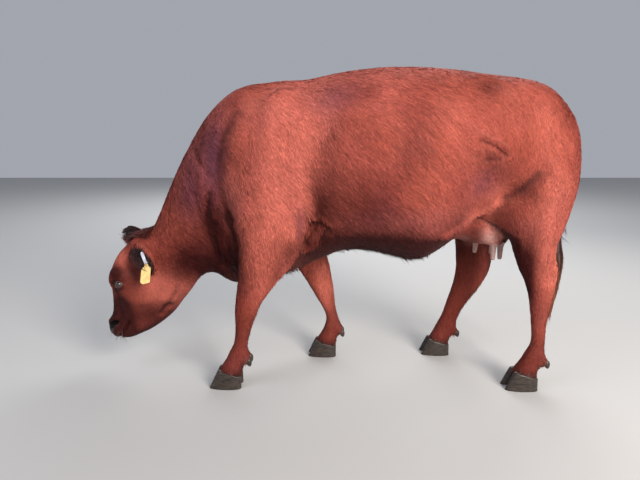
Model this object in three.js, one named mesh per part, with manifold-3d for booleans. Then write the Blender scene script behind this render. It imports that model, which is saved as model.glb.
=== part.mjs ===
// A life-size grazing cow of a polled red beef breed: head down, legs apart in a slow step.
//
// Millimetres, +Z up. The head points along -X and the left flank along -Y. The origin is on the
// floor, under the middle of the whole animal's box.
//
// Every fleshy part is a loft. Each row of its table gives one ring: the two points where the ring
// crosses the side view's outline, its half width, and its squareness. The lofts are joined into
// one body, and thin cuts then part it into head, neck, trunk and legs.

import * as THREE from "three";
import { mergeVertices } from "three/addons/utils/BufferGeometryUtils.js";
import Module from "manifold-3d";

const wasm = await Module();
wasm.setup();

// ---------------------------------------------------------------- driving sizes

const GAP = 0.4; // clearance left between neighbouring pieces
const BOX_MIDDLE_X = 70.829; // where the middle of the animal's box falls on the tables' x scale
const LEFT = -1; // the left side is towards -Y
const RIGHT = 1;

const NAPE_CUT = { x: -700, z: 560, tilt: 22 }; // between head and neck, tilt in degrees
const SHOULDER_CUT = { x: -360, z: 900, tilt: -11 }; // between neck and trunk
const ELBOW_HEIGHT = 600; // the forelegs end here
const STIFLE_HEIGHT = 685; // the hind legs end here

const EYE = { x: -907, y: 97, z: 447, radius: 20 };
const NOSTRIL = { x: -972, y: 40, z: 238 };
const CORONET_HEIGHT = 66; // middle of the slanted top of the hooves
const CORONET_SLOPE = 14 / 52; // its fall from toe to heel
const CLAW = { toe: 92, heel: 50, inner: 3.5, outerTop: 49, outerSole: 55 };

// ---------------------------------------------------------------- finishes

const COAT = { color: 0x7c2f1e, roughness: 0.75, metalness: 0 };
const HORN = { color: 0x3a2a24, roughness: 0.5, metalness: 0 };
const BARE_SKIN = { color: 0xb08078, roughness: 0.6, metalness: 0 };
const EYE_DARK = { color: 0x140c0a, roughness: 0.08, metalness: 0 };
const SWITCH_HAIR = { color: 0x6a3018, roughness: 0.8, metalness: 0 };
const TAG_YELLOW = { color: 0xe3b64a, roughness: 0.45, metalness: 0 };
const TAG_WHITE = { color: 0xd8d4d8, roughness: 0.45, metalness: 0 };

// ---------------------------------------------------------------- solids

// A closed three.js geometry as a manifold, turned outside out if its faces point inwards.
function solid(geometry) {
  const bare = geometry.clone();
  for (const name of Object.keys(bare.attributes)) {
    if (name !== "position") bare.deleteAttribute(name);
  }
  const merged = mergeVertices(bare, 1e-3);
  const triVerts = new Uint32Array(merged.index.array);
  const make = () =>
    new wasm.Manifold(
      new wasm.Mesh({ numProp: 3, vertProperties: merged.attributes.position.array, triVerts }),
    );
  const made = make();
  if (made.volume() > 0) return made;
  for (let i = 0; i < triVerts.length; i += 3) {
    [triVerts[i], triVerts[i + 1]] = [triVerts[i + 1], triVerts[i]];
  }
  return make();
}

// A manifold back as a geometry that a mesh can hold.
function geometryOf(manifold) {
  const mesh = manifold.getMesh();
  const geometry = new THREE.BufferGeometry();
  geometry.setAttribute("position", new THREE.BufferAttribute(mesh.vertProperties, 3));
  geometry.setIndex(new THREE.BufferAttribute(mesh.triVerts, 1));
  geometry.computeVertexNormals();
  return geometry;
}

// Moves every vertex of a geometry to where place(vertex) puts it.
function warp(geometry, place) {
  const position = geometry.attributes.position;
  const vertex = new THREE.Vector3();
  for (let i = 0; i < position.count; i++) {
    vertex.fromBufferAttribute(position, i);
    place(vertex);
    position.setXYZ(i, vertex.x, vertex.y, vertex.z);
  }
  return geometry;
}

// Raises a size to a power and keeps its sign.
function signedPower(value, power) {
  return Math.sign(value) * Math.abs(value) ** power;
}

// A closed loft through a table of rings. A row is
// [x and z of the first outline point, x and z of the second, half width, y of the middle,
//  share of the way from the second point to the first at which the ring is widest,
//  squareness of the first half, squareness of the second half].
// Squareness 2 is an ellipse, more is boxier and less comes to an edge. grow makes the loft that
// much bigger all round and at both ends.
function loft(rows, around, lengthwise, grow = 0) {
  const curve = (pick) => {
    const knots = rows.map((row) => new THREE.Vector3(...pick(row)));
    return new THREE.CatmullRomCurve3(knots, false, "catmullrom", 0.5);
  };
  const first = curve((row) => [row[0], row[5], row[1]]);
  const second = curve((row) => [row[2], row[5], row[3]]);
  const widths = curve((row) => [row[4], row[6] ?? 0.5, 0]);
  const powers = curve((row) => [row[7] ?? 2.1, row[8] ?? 2.1, 0]);
  const middle = (t) => first.getPoint(t).add(second.getPoint(t)).multiplyScalar(0.5);
  return solid(
    warp(new THREE.CylinderGeometry(1, 1, 1, around, lengthwise), (vertex) => {
      const t = THREE.MathUtils.clamp(0.5 - vertex.y, 0, 1);
      const [a, b] = [first.getPoint(t), second.getPoint(t)];
      const [width, power] = [widths.getPoint(t), powers.getPoint(t)];
      const [sine, cosine] = [vertex.x, vertex.z];
      const widest = b.clone().lerp(a, width.y);
      const outline = cosine > 0 ? a : b;
      const reach = widest.distanceTo(outline) + grow;
      const along = a.clone().sub(b).normalize();
      const onAxis = Math.hypot(sine, cosine) < 0.5;
      const up = signedPower(cosine, 2 / (cosine > 0 ? power.x : power.y));
      const side = signedPower(sine, 2 / (cosine > 0 ? power.x : power.y));
      vertex.copy(widest);
      if (!onAxis) {
        vertex.addScaledVector(along, up * reach);
        vertex.y += side * (width.x + grow);
      }
      if (t === 0) vertex.addScaledVector(middle(0).sub(middle(0.02)).normalize(), grow);
      if (t === 1) vertex.addScaledVector(middle(1).sub(middle(0.98)).normalize(), grow);
    }),
  );
}

// A ball with the given half sizes, for muscles and bones that stand out.
function bulge([x, y, z], halves, grow = 0, segments = 10) {
  const ball = new THREE.SphereGeometry(1, segments, Math.round(segments * 0.65));
  ball.scale(halves[0] + grow, halves[1] + grow, halves[2] + grow);
  ball.translate(x, y, z);
  return solid(ball);
}

function block(low, high) {
  const size = high.map((value, i) => value - low[i]);
  const box = new THREE.BoxGeometry(...size);
  box.translate(low[0] + size[0] / 2, low[1] + size[1] / 2, low[2] + size[2] / 2);
  return solid(box);
}

// Cuts a body along a plane that leans back by the tilt: [the part ahead of it, the part behind].
function cutAcross(body, { x, z, tilt }) {
  const lean = THREE.MathUtils.degToRad(tilt);
  const ahead = [-Math.cos(lean), 0, -Math.sin(lean)];
  const offset = ahead[0] * x + ahead[2] * z;
  const front = body.trimByPlane(ahead, offset + GAP / 2);
  const back = body.trimByPlane(ahead.map((value) => -value), -offset + GAP / 2);
  return [front, back];
}

// Cuts a body along the faces of some blocks: [the part inside them, the part outside].
function cutOut(body, corners) {
  let [inside, outside] = [null, body];
  for (const [low, high] of corners) {
    const piece = body.intersect(block(low, high));
    inside = inside ? inside.add(piece) : piece;
    const wider = block(low.map((value) => value - GAP), high.map((value) => value + GAP));
    outside = outside.subtract(wider);
  }
  return [inside, outside];
}

// ---------------------------------------------------------------- trunk, neck and head

// From the breast to the buttocks; first point on the back, second on the belly.
const TRUNK_ROWS = [
  [-455, 910, -455, 540, 60, 0, 0.45, 2.0, 2.0],
  [-430, 1040, -440, 472, 132, 0, 0.45, 2.0, 1.8],
  [-375, 1185, -385, 440, 188, 0, 0.5, 2.1, 1.7],
  [-292, 1312, -300, 448, 232, 0, 0.5, 2.1, 1.8],
  [-190, 1343, -190, 468, 268, 0, 0.48, 2.1, 1.9],
  [-50, 1349, -50, 520, 306, 0, 0.46, 2.1, 2.0],
  [110, 1380, 110, 590, 346, 0, 0.44, 2.2, 2.1],
  [250, 1394, 250, 582, 368, 0, 0.44, 2.3, 2.1],
  [400, 1397, 400, 546, 370, 0, 0.46, 2.4, 2.0],
  [480, 1392, 480, 560, 360, 0, 0.47, 2.5, 2.1],
  [570, 1383, 570, 618, 344, 0, 0.5, 2.6, 2.1],
  [690, 1366, 690, 712, 308, 0, 0.56, 2.8, 2.1],
  [820, 1351, 820, 748, 280, 0, 0.6, 2.8, 2.1],
  [925, 1334, 925, 772, 254, 0, 0.6, 2.7, 2.1],
  [1003, 1288, 1003, 822, 216, 0, 0.6, 2.5, 2.1],
  [1056, 1216, 1058, 900, 166, 0, 0.55, 2.3, 2.1],
  [1080, 1130, 1080, 1010, 80, 0, 0.5, 2.1, 2.1],
];

// From inside the chest to inside the back of the head; first point on the crest, second on the
// throat.
const NECK_ROWS = [
  [-190, 1344, -220, 510, 190, 0, 0.5, 2.1, 1.9],
  [-322, 1324, -355, 432, 236, 0, 0.52, 2.1, 1.6],
  [-418, 1276, -428, 438, 208, 0, 0.55, 2.1, 1.5],
  [-502, 1192, -498, 474, 175, 0, 0.56, 2.1, 1.5],
  [-567, 1096, -552, 460, 146, 0, 0.56, 2.1, 1.6],
  [-635, 980, -600, 402, 124, 0, 0.56, 2.1, 1.7],
  [-694, 860, -645, 348, 106, 0, 0.56, 2.1, 1.8],
  [-742, 757, -690, 304, 92, 0, 0.56, 2.0, 1.9],
  [-776, 684, -730, 300, 70, 0, 0.56, 2.0, 1.9],
];

// From the poll down to the lips; first point on the face, second on the nape and jaw.
const HEAD_ROWS = [
  [-788, 686, -750, 660, 46, 0, 0.5, 2.0, 2.0],
  [-832, 664, -722, 618, 80, 0, 0.5, 2.3, 2.0],
  [-884, 622, -690, 564, 97, 0, 0.58, 2.7, 2.0],
  [-930, 571, -664, 507, 104, 0, 0.66, 2.9, 2.0],
  [-961, 505, -642, 444, 105, 0, 0.68, 2.9, 2.1],
  [-972, 436, -638, 376, 97, 0, 0.64, 2.7, 2.2],
  [-974, 375, -672, 310, 84, 0, 0.58, 2.5, 2.2],
  [-979, 316, -728, 254, 70, 0, 0.52, 2.4, 2.2],
  [-988, 264, -792, 208, 62, 0, 0.52, 2.4, 2.2],
  [-998, 228, -848, 182, 66, 0, 0.55, 2.6, 2.2],
  [-995, 200, -880, 168, 64, 0, 0.55, 2.6, 2.2],
  [-974, 180, -905, 166, 42, 0, 0.5, 2.2, 2.2],
];

// Muscles and bones that stand out of the lofts, one on each side: centre and half sizes.
const RELIEF = [
  [[-914, 80, 464], [48, 34, 54]], // bony rim of the eye
  [[-720, 60, 436], [80, 33, 104]], // cheek muscle over the jaw
  [[-956, 36, 238], [41, 30, 46]], // wing of the nostril
  [[-822, 64, 618], [40, 38, 42]], // root of the ear
  [[-150, 148, 1095], [140, 88, 206]], // shoulder blade
  [[640, 216, 1250], [130, 78, 92]], // hip bone
  [[1000, 92, 1180], [70, 62, 84]], // pin bone
];

// Folds of skin that hang in the middle: centre and half sizes.
const FOLDS = [
  [[-412, 0, 480], [38, 20, 50]], // tip of the brisket
  [[412, 0, 568], [44, 15, 38]], // navel
];

// ---------------------------------------------------------------- legs

// From inside the body to the coronet; first point on the front edge, second on the rear edge.
const FORELEG_ROWS = [
  [-210, 1250, -60, 1240, 26, 145],
  [-262, 1150, -24, 1140, 58, 172],
  [-318, 1040, -10, 1020, 82, 190],
  [-356, 930, -12, 900, 92, 205],
  [-368, 830, -26, 780, 94, 214],
  [-360, 740, -46, 690, 90, 216],
  [-350, 668, -78, 620, 84, 210],
  [-350, 600, -118, 558, 76, 202],
  [-354, 530, -176, 490, 64, 195],
  [-362, 455, -226, 420, 54, 190],
  [-370, 395, -258, 372, 50, 186],
  [-375, 350, -274, 335, 50, 184],
  [-374, 305, -292, 292, 43, 181],
  [-376, 250, -308, 240, 35, 179],
  [-384, 200, -320, 190, 33, 177],
  [-402, 165, -316, 146, 42, 175],
  [-422, 125, -336, 102, 42, 174],
  [-452, 80, -348, 52, 49, 174],
];
const TRAILING_FORELEG_ROWS = [
  [-210, 1250, -60, 1240, 26, 145],
  [-262, 1150, -24, 1140, 58, 172],
  [-318, 1040, -8, 1020, 82, 190],
  [-352, 930, -2, 905, 92, 205],
  [-358, 830, -4, 800, 94, 214],
  [-338, 740, -6, 720, 90, 216],
  [-300, 655, -4, 660, 84, 210],
  [-240, 585, 12, 610, 76, 202],
  [-172, 515, 36, 545, 64, 195],
  [-112, 445, 54, 470, 54, 190],
  [-72, 388, 64, 405, 50, 186],
  [-46, 345, 72, 358, 50, 184],
  [-20, 300, 76, 308, 43, 181],
  [10, 252, 82, 254, 35, 179],
  [30, 205, 94, 200, 33, 177],
  [26, 165, 112, 148, 42, 175],
  [8, 125, 94, 102, 42, 174],
  [-20, 80, 84, 52, 49, 174],
];
const HINDLEG_ROWS = [
  [790, 1225, 1066, 1195, 60, 130],
  [742, 1115, 1086, 1090, 105, 150],
  [735, 1010, 1090, 980, 122, 158],
  [742, 910, 1084, 890, 124, 164],
  [756, 820, 1066, 800, 114, 168],
  [780, 735, 1040, 715, 98, 174],
  [804, 665, 1016, 650, 80, 180],
  [826, 600, 1014, 590, 62, 184],
  [846, 540, 1028, 548, 51, 187],
  [872, 488, 1026, 512, 46, 189],
  [893, 435, 1013, 442, 45, 191],
  [907, 378, 1000, 372, 41, 192],
  [916, 310, 992, 300, 34, 193],
  [924, 240, 990, 230, 31, 193],
  [922, 200, 990, 188, 33, 193],
  [904, 165, 992, 144, 41, 193],
  [884, 125, 970, 100, 41, 193],
  [856, 80, 960, 52, 48, 193],
];
const LEADING_HINDLEG_ROWS = [
  [790, 1225, 1066, 1195, 60, 130],
  [742, 1115, 1082, 1090, 105, 150],
  [728, 1010, 1078, 985, 122, 158],
  [716, 915, 1054, 900, 124, 164],
  [698, 825, 1018, 825, 114, 168],
  [682, 745, 972, 765, 98, 174],
  [672, 670, 926, 700, 82, 180],
  [672, 600, 890, 632, 64, 184],
  [678, 540, 874, 566, 52, 187],
  [684, 485, 878, 506, 46, 189],
  [686, 430, 862, 430, 45, 191],
  [678, 372, 816, 352, 42, 192],
  [662, 318, 772, 290, 35, 193],
  [644, 262, 738, 238, 32, 193],
  [630, 215, 716, 192, 33, 193],
  [612, 172, 706, 140, 41, 193],
  [590, 128, 684, 98, 41, 193],
  [566, 80, 670, 52, 48, 193],
];

// Where each leg ends: it is all that lies below top and behind from, and below the belly's
// height everything behind lowFrom.
const BELLY_HEIGHT = 540;
const FORE = { top: ELBOW_HEIGHT, back: 150 };
const HIND = { top: STIFLE_HEIGHT, back: 1100 };
const LEGS = {
  foreleg_left: { ...FORE, rows: FORELEG_ROWS, side: LEFT, from: -490, lowFrom: -490, back: -60 },
  foreleg_right: { ...FORE, rows: TRAILING_FORELEG_ROWS, side: RIGHT, from: -300, lowFrom: -300 },
  hindleg_left: { ...HIND, rows: HINDLEG_ROWS, side: LEFT, from: 770, lowFrom: 770 },
  hindleg_right: { ...HIND, rows: LEADING_HINDLEG_ROWS, side: RIGHT, from: 660, lowFrom: 500 },
};

function legLoft({ rows, side }, grow = 0) {
  const sided = rows.map((row) => [...row.slice(0, 5), side * row[5]]);
  return loft(sided, 11, 18, grow);
}

// One claw of a cloven hoof. Its sole is flat on the ground and its slanted top follows the
// coronet. away is the side of the foot that it is on.
function claw(footX, footY, away) {
  const can = new THREE.CylinderGeometry(1, 1, 1, 12, 2);
  return solid(
    warp(can, (vertex) => {
      const drop = 0.5 - vertex.y;
      const [side, forward] = [vertex.x, vertex.z];
      const outer = THREE.MathUtils.lerp(CLAW.outerTop, CLAW.outerSole, drop);
      const half = (outer - CLAW.inner) / 2;
      const toe = THREE.MathUtils.lerp(52, CLAW.toe, drop);
      const heel = THREE.MathUtils.lerp(50, CLAW.heel, drop);
      const narrowing = 1 - 0.3 * drop * Math.max(0, forward) ** 3;
      const x = footX - signedPower(forward, 0.9) * (forward > 0 ? toe : heel);
      const topX = footX - signedPower(forward, 0.9) * (forward > 0 ? 52 : 50);
      const top = CORONET_HEIGHT - GAP - (topX - footX) * CORONET_SLOPE;
      const across = CLAW.inner + half + signedPower(side * away, 0.8) * half * narrowing;
      vertex.set(x, footY + away * across, top * (1 - drop));
    }),
  );
}

// ---------------------------------------------------------------- tail, udder and ears

// From inside the rump down the back of the thighs; first point on the outer edge.
const TAIL_ROWS = [
  [966, 1343, 978, 1272, 28, 0],
  [1030, 1316, 1008, 1252, 28, 0],
  [1084, 1266, 1044, 1224, 26, 0],
  [1118, 1200, 1080, 1180, 24, 0],
  [1134, 1120, 1097, 1110, 21, 0],
  [1140, 1030, 1105, 1026, 18, 0],
  [1137, 930, 1106, 926, 16, -3],
  [1127, 830, 1099, 826, 14, -8],
  [1115, 735, 1090, 731, 12.5, -13],
  [1102, 662, 1078, 659, 11, -17],
];
const SWITCH_ROWS = [
  [1102, 661, 1077, 658, 12, -17],
  [1116, 605, 1066, 600, 22, -20],
  [1124, 540, 1056, 534, 32, -24],
  [1118, 472, 1050, 462, 32, -27],
  [1106, 404, 1052, 396, 24, -29],
  [1096, 350, 1060, 346, 15, -30],
  [1088, 312, 1072, 311, 6, -30],
];

const UDDER = [[738, 0, 694], [155, 138, 80]];
const TEAT_HALVES = [13, 13, 40];
const TEATS = {
  teat_front_left: [777, -84, 590],
  teat_front_right: [752, 84, 588],
  teat_rear_left: [818, -58, 588],
  teat_rear_right: [822, 58, 588],
};

// An ear is a cupped leaf. root is where it leaves the head, along its length and facing the way
// its hollow opens.
const EAR_LEFT = { root: [-838, -74, 627], along: [0.66, -0.47, -0.58], facing: [-0.3, -0.83, 0.28] };
const EAR_RIGHT = { root: [-826, 70, 632], along: [-0.8, 0.6, -0.02], facing: [-0.5, -0.85, 0.1] };
const EAR = { length: 178, width: 118, thickness: 9, curlAtRoot: 40, curlAtTip: 75 };

function frameOf({ root, along, facing }) {
  const length = new THREE.Vector3(...along).normalize();
  const open = new THREE.Vector3(...facing);
  open.addScaledVector(length, -open.dot(length)).normalize();
  const across = new THREE.Vector3().crossVectors(length, open);
  const matrix = new THREE.Matrix4().makeBasis(length, across, open);
  return matrix.setPosition(new THREE.Vector3(...root));
}

// The leaf's half width at a share of its length: a narrow stalk, widest before the middle.
function leafHalfWidth(share) {
  const widest = 0.42;
  const swell = 0.12 + 0.88 * Math.sin((Math.PI / 2) * Math.min(1, share / widest)) ** 0.8;
  const rounding = Math.max(0, (share - widest) / (1 - widest));
  return (EAR.width / 2) * swell * Math.sqrt(Math.max(0, 1 - rounding ** 2.2));
}

function ear(pose, grow = 0) {
  const leaf = new THREE.SphereGeometry(1, 12, 11);
  leaf.rotateZ(Math.PI / 2);
  warp(leaf, (vertex) => {
    const share = (vertex.x + 1) / 2;
    const ring = Math.hypot(vertex.y, vertex.z) || 1;
    const half = leafHalfWidth(share) + grow;
    const wall = Math.min(EAR.thickness / 2, half * 0.3) + grow;
    const across = signedPower(vertex.y / ring, 0.8) * half;
    const through = signedPower(vertex.z / ring, 0.6) * wall;
    const curve = THREE.MathUtils.lerp(EAR.curlAtRoot, EAR.curlAtTip, share);
    vertex.set(
      share * (EAR.length + 2 * grow) - grow,
      (curve - through) * Math.sin(across / curve),
      curve - (curve - through) * Math.cos(across / curve),
    );
  });
  leaf.applyMatrix4(frameOf(pose));
  return solid(leaf);
}

// ---------------------------------------------------------------- ear tags

const TAG = {
  share: 0.7, // where along the left ear the pin goes through
  pinRadius: 3,
  plate: 2.2,
  yellow: { neck: 8, neckLength: 34, half: 23, length: 106, corner: 12, away: 10.5, swing: 19, lean: 21 },
  white: { half: 7.5, above: 50, below: 8, away: 18.5, swing: -5, lean: 32 },
};

// The tags hang in the plane across the pin, their local Y as near upright as that plane allows.
const pinFrame = frameOf(EAR_LEFT);
const pinAt = new THREE.Vector3(TAG.share * EAR.length, 0, 0).applyMatrix4(pinFrame);
const pinWay = new THREE.Vector3().setFromMatrixColumn(pinFrame, 2);
const upright = new THREE.Vector3(0, 0, 1).addScaledVector(pinWay, -pinWay.z).normalize();
const hanging = new THREE.Matrix4().makeBasis(upright.clone().cross(pinWay), upright, pinWay);

// A plate with the given outline, away from the ear along the pin, swung outwards at its foot and
// leaning sideways by some degrees.
function plate(outline, { away, swing, lean }) {
  const shape = new THREE.Shape(outline.map(([x, y]) => new THREE.Vector2(x, y)));
  const sheet = new THREE.ExtrudeGeometry(shape, { depth: TAG.plate, bevelEnabled: false });
  sheet.rotateZ(THREE.MathUtils.degToRad(lean));
  sheet.rotateX(THREE.MathUtils.degToRad(-swing));
  sheet.applyMatrix4(hanging.clone().setPosition(pinAt.clone().addScaledVector(pinWay, away)));
  return solid(sheet);
}

// A round bar along the pin between two distances from the ear's middle layer.
function pinBar(from, to, radius) {
  const bar = new THREE.CylinderGeometry(radius, radius, to - from, 10);
  bar.translate(0, (from + to) / 2, 0);
  bar.rotateX(Math.PI / 2);
  bar.applyMatrix4(pinFrame.clone().setPosition(pinAt));
  return solid(bar);
}

function yellowTag() {
  const { neck, neckLength, half, length, corner } = TAG.yellow;
  return plate(
    [
      [-neck, 5],
      [-neck, -neckLength * 0.5],
      [-half, -neckLength],
      [-half, corner - length],
      [corner - half, -length],
      [half - corner / 3, -length],
      [half, corner / 3 - length],
      [half, -neckLength],
      [neck, -neckLength * 0.5],
      [neck, 5],
    ],
    TAG.yellow,
  );
}

function whiteTag() {
  const { half, above, below } = TAG.white;
  return plate(
    [
      [-half, -below],
      [half, -below],
      [half, above - half],
      [half * 0.5, above],
      [-half * 0.5, above],
      [-half, above - half],
    ],
    TAG.white,
  );
}

// ---------------------------------------------------------------- assembly

const cow = new THREE.Group();
cow.position.x = -BOX_MIDDLE_X;

function add(name, manifold, finish) {
  const mesh = new THREE.Mesh(geometryOf(manifold), new THREE.MeshStandardMaterial(finish));
  mesh.name = name;
  cow.add(mesh);
}

let flesh = loft(TRUNK_ROWS, 20, 18);
flesh = flesh.add(loft(NECK_ROWS, 18, 10));
flesh = flesh.add(loft(HEAD_ROWS, 18, 16));
for (const [[x, y, z], halves] of RELIEF) {
  for (const side of [LEFT, RIGHT]) flesh = flesh.add(bulge([x, side * y, z], halves));
}
for (const [centre, halves] of FOLDS) flesh = flesh.add(bulge(centre, halves));
for (const one of Object.values(LEGS)) flesh = flesh.add(legLoft(one));

// Seats a separate piece in a body: the body gives way to it, GAP clear all round.
function seat(body, make) {
  return body.subtract(make(GAP));
}

let [head, rest] = cutAcross(flesh, NAPE_CUT);
let [neck, trunk] = cutAcross(rest, SHOULDER_CUT);

for (const [name, one] of Object.entries(LEGS)) {
  const [near, far] = one.side < 0 ? [-420, -60] : [60, 420];
  let leg;
  [leg, trunk] = cutOut(trunk, [
    [[one.from, near, -20], [one.back, far, one.top]],
    [[one.lowFrom, near, -20], [one.back, far, BELLY_HEIGHT]],
  ]);
  const hindOrFore = name.startsWith("fore") ? "fore" : "hind";
  const sideName = one.side < 0 ? "left" : "right";
  const coronet = one.rows.at(-1);
  const fetlock = one.rows.at(-3);
  const footX = (coronet[0] + coronet[2]) / 2;
  for (const [place, away] of [["inner", -one.side], ["outer", one.side]]) {
    const at = [fetlock[2] - 2, one.side * fetlock[5] + away * 27, fetlock[3] - 26];
    const dewclaw = (grow) => bulge(at, [16, 14, 21], grow, 7);
    leg = seat(leg, dewclaw);
    add(`dewclaw_${hindOrFore}_${sideName}_${place}`, dewclaw(0), HORN);
    add(`hoof_${hindOrFore}_${sideName}_${place}`, claw(footX, one.side * coronet[5], away), HORN);
  }
  add(name, leg, COAT);
}

for (const [name, side] of [["left", LEFT], ["right", RIGHT]]) {
  const eyeball = (grow) =>
    bulge([EYE.x, side * EYE.y, EYE.z], [EYE.radius, EYE.radius, EYE.radius], grow, 12);
  const earOf = (grow) => ear(side < 0 ? EAR_LEFT : EAR_RIGHT, 3 * grow);
  const nostril = bulge([NOSTRIL.x, side * NOSTRIL.y, NOSTRIL.z], [10, 30, 14], 0, 8);
  head = seat(seat(head, eyeball), earOf).subtract(nostril);
  add(`eye_${name}`, eyeball(0), EYE_DARK);
  const pinHole = pinBar(-30, 30, TAG.pinRadius + GAP);
  add(`ear_${name}`, side < 0 ? earOf(0).subtract(pinHole) : earOf(0), COAT);
}

const udder = (grow) => bulge(UDDER[0], UDDER[1], grow, 16);
const tail = (grow) => loft(TAIL_ROWS, 10, 13, grow);
trunk = seat(seat(trunk, udder), tail);
let bag = udder(0);
for (const one of Object.values(LEGS)) bag = bag.subtract(legLoft(one, GAP));
for (const [name, at] of Object.entries(TEATS)) {
  const teat = (grow) => bulge(at, TEAT_HALVES, grow, 8);
  bag = seat(bag, teat);
  add(name, teat(0), BARE_SKIN);
}
add("udder", bag, COAT);
add("tail", tail(0), COAT);
add("tail_switch", loft(SWITCH_ROWS, 10, 10).subtract(tail(GAP)), SWITCH_HAIR);

const tagHole = pinBar(-30, 40, TAG.pinRadius + GAP);
add("tag_yellow", yellowTag().subtract(tagHole), TAG_YELLOW);
add("tag_white", whiteTag().subtract(tagHole), TAG_WHITE);
add("tag_pin", pinBar(-9, 23, TAG.pinRadius).add(pinBar(-12, -8, 9)).add(pinBar(21.5, 24, 5)), TAG_WHITE);

add("head", head, COAT);
add("neck", neck, COAT);
add("trunk", trunk, COAT);

export default cow;
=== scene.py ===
"""A life-size grazing cow of a polled red breed, as a museum shows one.

Every table is in millimetres, with +Z up, the head towards -X and the left flank towards -Y.
"""

import bmesh
import bpy
import numpy as np
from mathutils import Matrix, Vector


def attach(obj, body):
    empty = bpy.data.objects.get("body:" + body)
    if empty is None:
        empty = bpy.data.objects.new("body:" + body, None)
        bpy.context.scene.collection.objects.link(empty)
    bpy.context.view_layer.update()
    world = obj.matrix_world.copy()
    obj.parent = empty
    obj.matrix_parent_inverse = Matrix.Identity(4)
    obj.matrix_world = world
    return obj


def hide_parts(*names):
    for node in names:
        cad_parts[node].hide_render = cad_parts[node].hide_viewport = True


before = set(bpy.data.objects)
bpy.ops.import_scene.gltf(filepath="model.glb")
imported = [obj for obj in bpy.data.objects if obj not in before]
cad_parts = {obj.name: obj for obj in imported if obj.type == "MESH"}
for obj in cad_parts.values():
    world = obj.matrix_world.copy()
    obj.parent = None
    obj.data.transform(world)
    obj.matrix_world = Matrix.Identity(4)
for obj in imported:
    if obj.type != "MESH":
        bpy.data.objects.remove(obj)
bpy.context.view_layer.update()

# ------------------------------------------------------------------------------ the hide's shape
# The hide is one skin over trunk, neck, head, legs, udder and tail. Each fleshy part is a loft:
# a row of its table gives one ring, as x and z of two points of the side view's outline, half
# width, y of the middle, the share of the way at which the ring is widest, and two squarenesses.

MIDDLE_X = 70.829  # where the tables' x has the model's own origin
LEFT, RIGHT = -1, 1
SIDES = {"left": LEFT, "right": RIGHT}
SKIN_CELL = 0.0104  # metres; the size of the skin's faces

TRUNK = [
    [-455, 910, -455, 540, 60, 0, 0.45, 2.0, 2.0],
    [-430, 1040, -440, 472, 132, 0, 0.45, 2.0, 1.8],
    [-375, 1185, -385, 440, 188, 0, 0.5, 2.1, 1.7],
    [-292, 1312, -300, 448, 232, 0, 0.5, 2.1, 1.8],
    [-190, 1343, -190, 468, 268, 0, 0.48, 2.1, 1.9],
    [-50, 1349, -50, 520, 306, 0, 0.46, 2.1, 2.0],
    [110, 1380, 110, 590, 346, 0, 0.44, 2.2, 2.1],
    [250, 1394, 250, 582, 368, 0, 0.44, 2.3, 2.1],
    [400, 1397, 400, 546, 370, 0, 0.46, 2.4, 2.0],
    [480, 1392, 480, 560, 360, 0, 0.47, 2.5, 2.1],
    [570, 1383, 570, 618, 344, 0, 0.5, 2.6, 2.1],
    [690, 1366, 690, 712, 308, 0, 0.56, 2.8, 2.1],
    [820, 1351, 820, 748, 280, 0, 0.6, 2.8, 2.1],
    [925, 1334, 925, 772, 254, 0, 0.6, 2.7, 2.1],
    [1003, 1288, 1003, 822, 216, 0, 0.6, 2.5, 2.1],
    [1056, 1216, 1058, 900, 166, 0, 0.55, 2.3, 2.1],
    [1080, 1130, 1080, 1010, 80, 0, 0.5, 2.1, 2.1],
]
NECK = [
    [-190, 1344, -220, 510, 190, 0, 0.5, 2.1, 1.9],
    [-322, 1324, -355, 432, 236, 0, 0.52, 2.1, 1.6],
    [-418, 1276, -428, 438, 208, 0, 0.55, 2.1, 1.5],
    [-502, 1192, -498, 474, 175, 0, 0.56, 2.1, 1.5],
    [-567, 1096, -552, 460, 146, 0, 0.56, 2.1, 1.6],
    [-635, 980, -600, 402, 124, 0, 0.56, 2.1, 1.7],
    [-694, 860, -645, 348, 106, 0, 0.56, 2.1, 1.8],
    [-742, 757, -690, 304, 92, 0, 0.56, 2.0, 1.9],
    [-776, 684, -730, 300, 70, 0, 0.56, 2.0, 1.9],
]
HEAD = [
    [-788, 686, -750, 660, 46, 0, 0.5, 2.0, 2.0],
    [-832, 664, -722, 618, 80, 0, 0.5, 2.3, 2.0],
    [-884, 622, -690, 564, 97, 0, 0.58, 2.7, 2.0],
    [-930, 571, -664, 507, 104, 0, 0.66, 2.9, 2.0],
    [-961, 505, -642, 444, 105, 0, 0.68, 2.9, 2.1],
    [-972, 436, -638, 376, 97, 0, 0.64, 2.7, 2.2],
    [-974, 375, -672, 310, 84, 0, 0.58, 2.5, 2.2],
    [-979, 316, -728, 254, 70, 0, 0.52, 2.4, 2.2],
    [-988, 264, -792, 208, 62, 0, 0.52, 2.4, 2.2],
    [-998, 228, -848, 182, 66, 0, 0.55, 2.6, 2.2],
    [-995, 200, -880, 168, 64, 0, 0.55, 2.6, 2.2],
    [-974, 180, -905, 166, 42, 0, 0.5, 2.2, 2.2],
]
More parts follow.
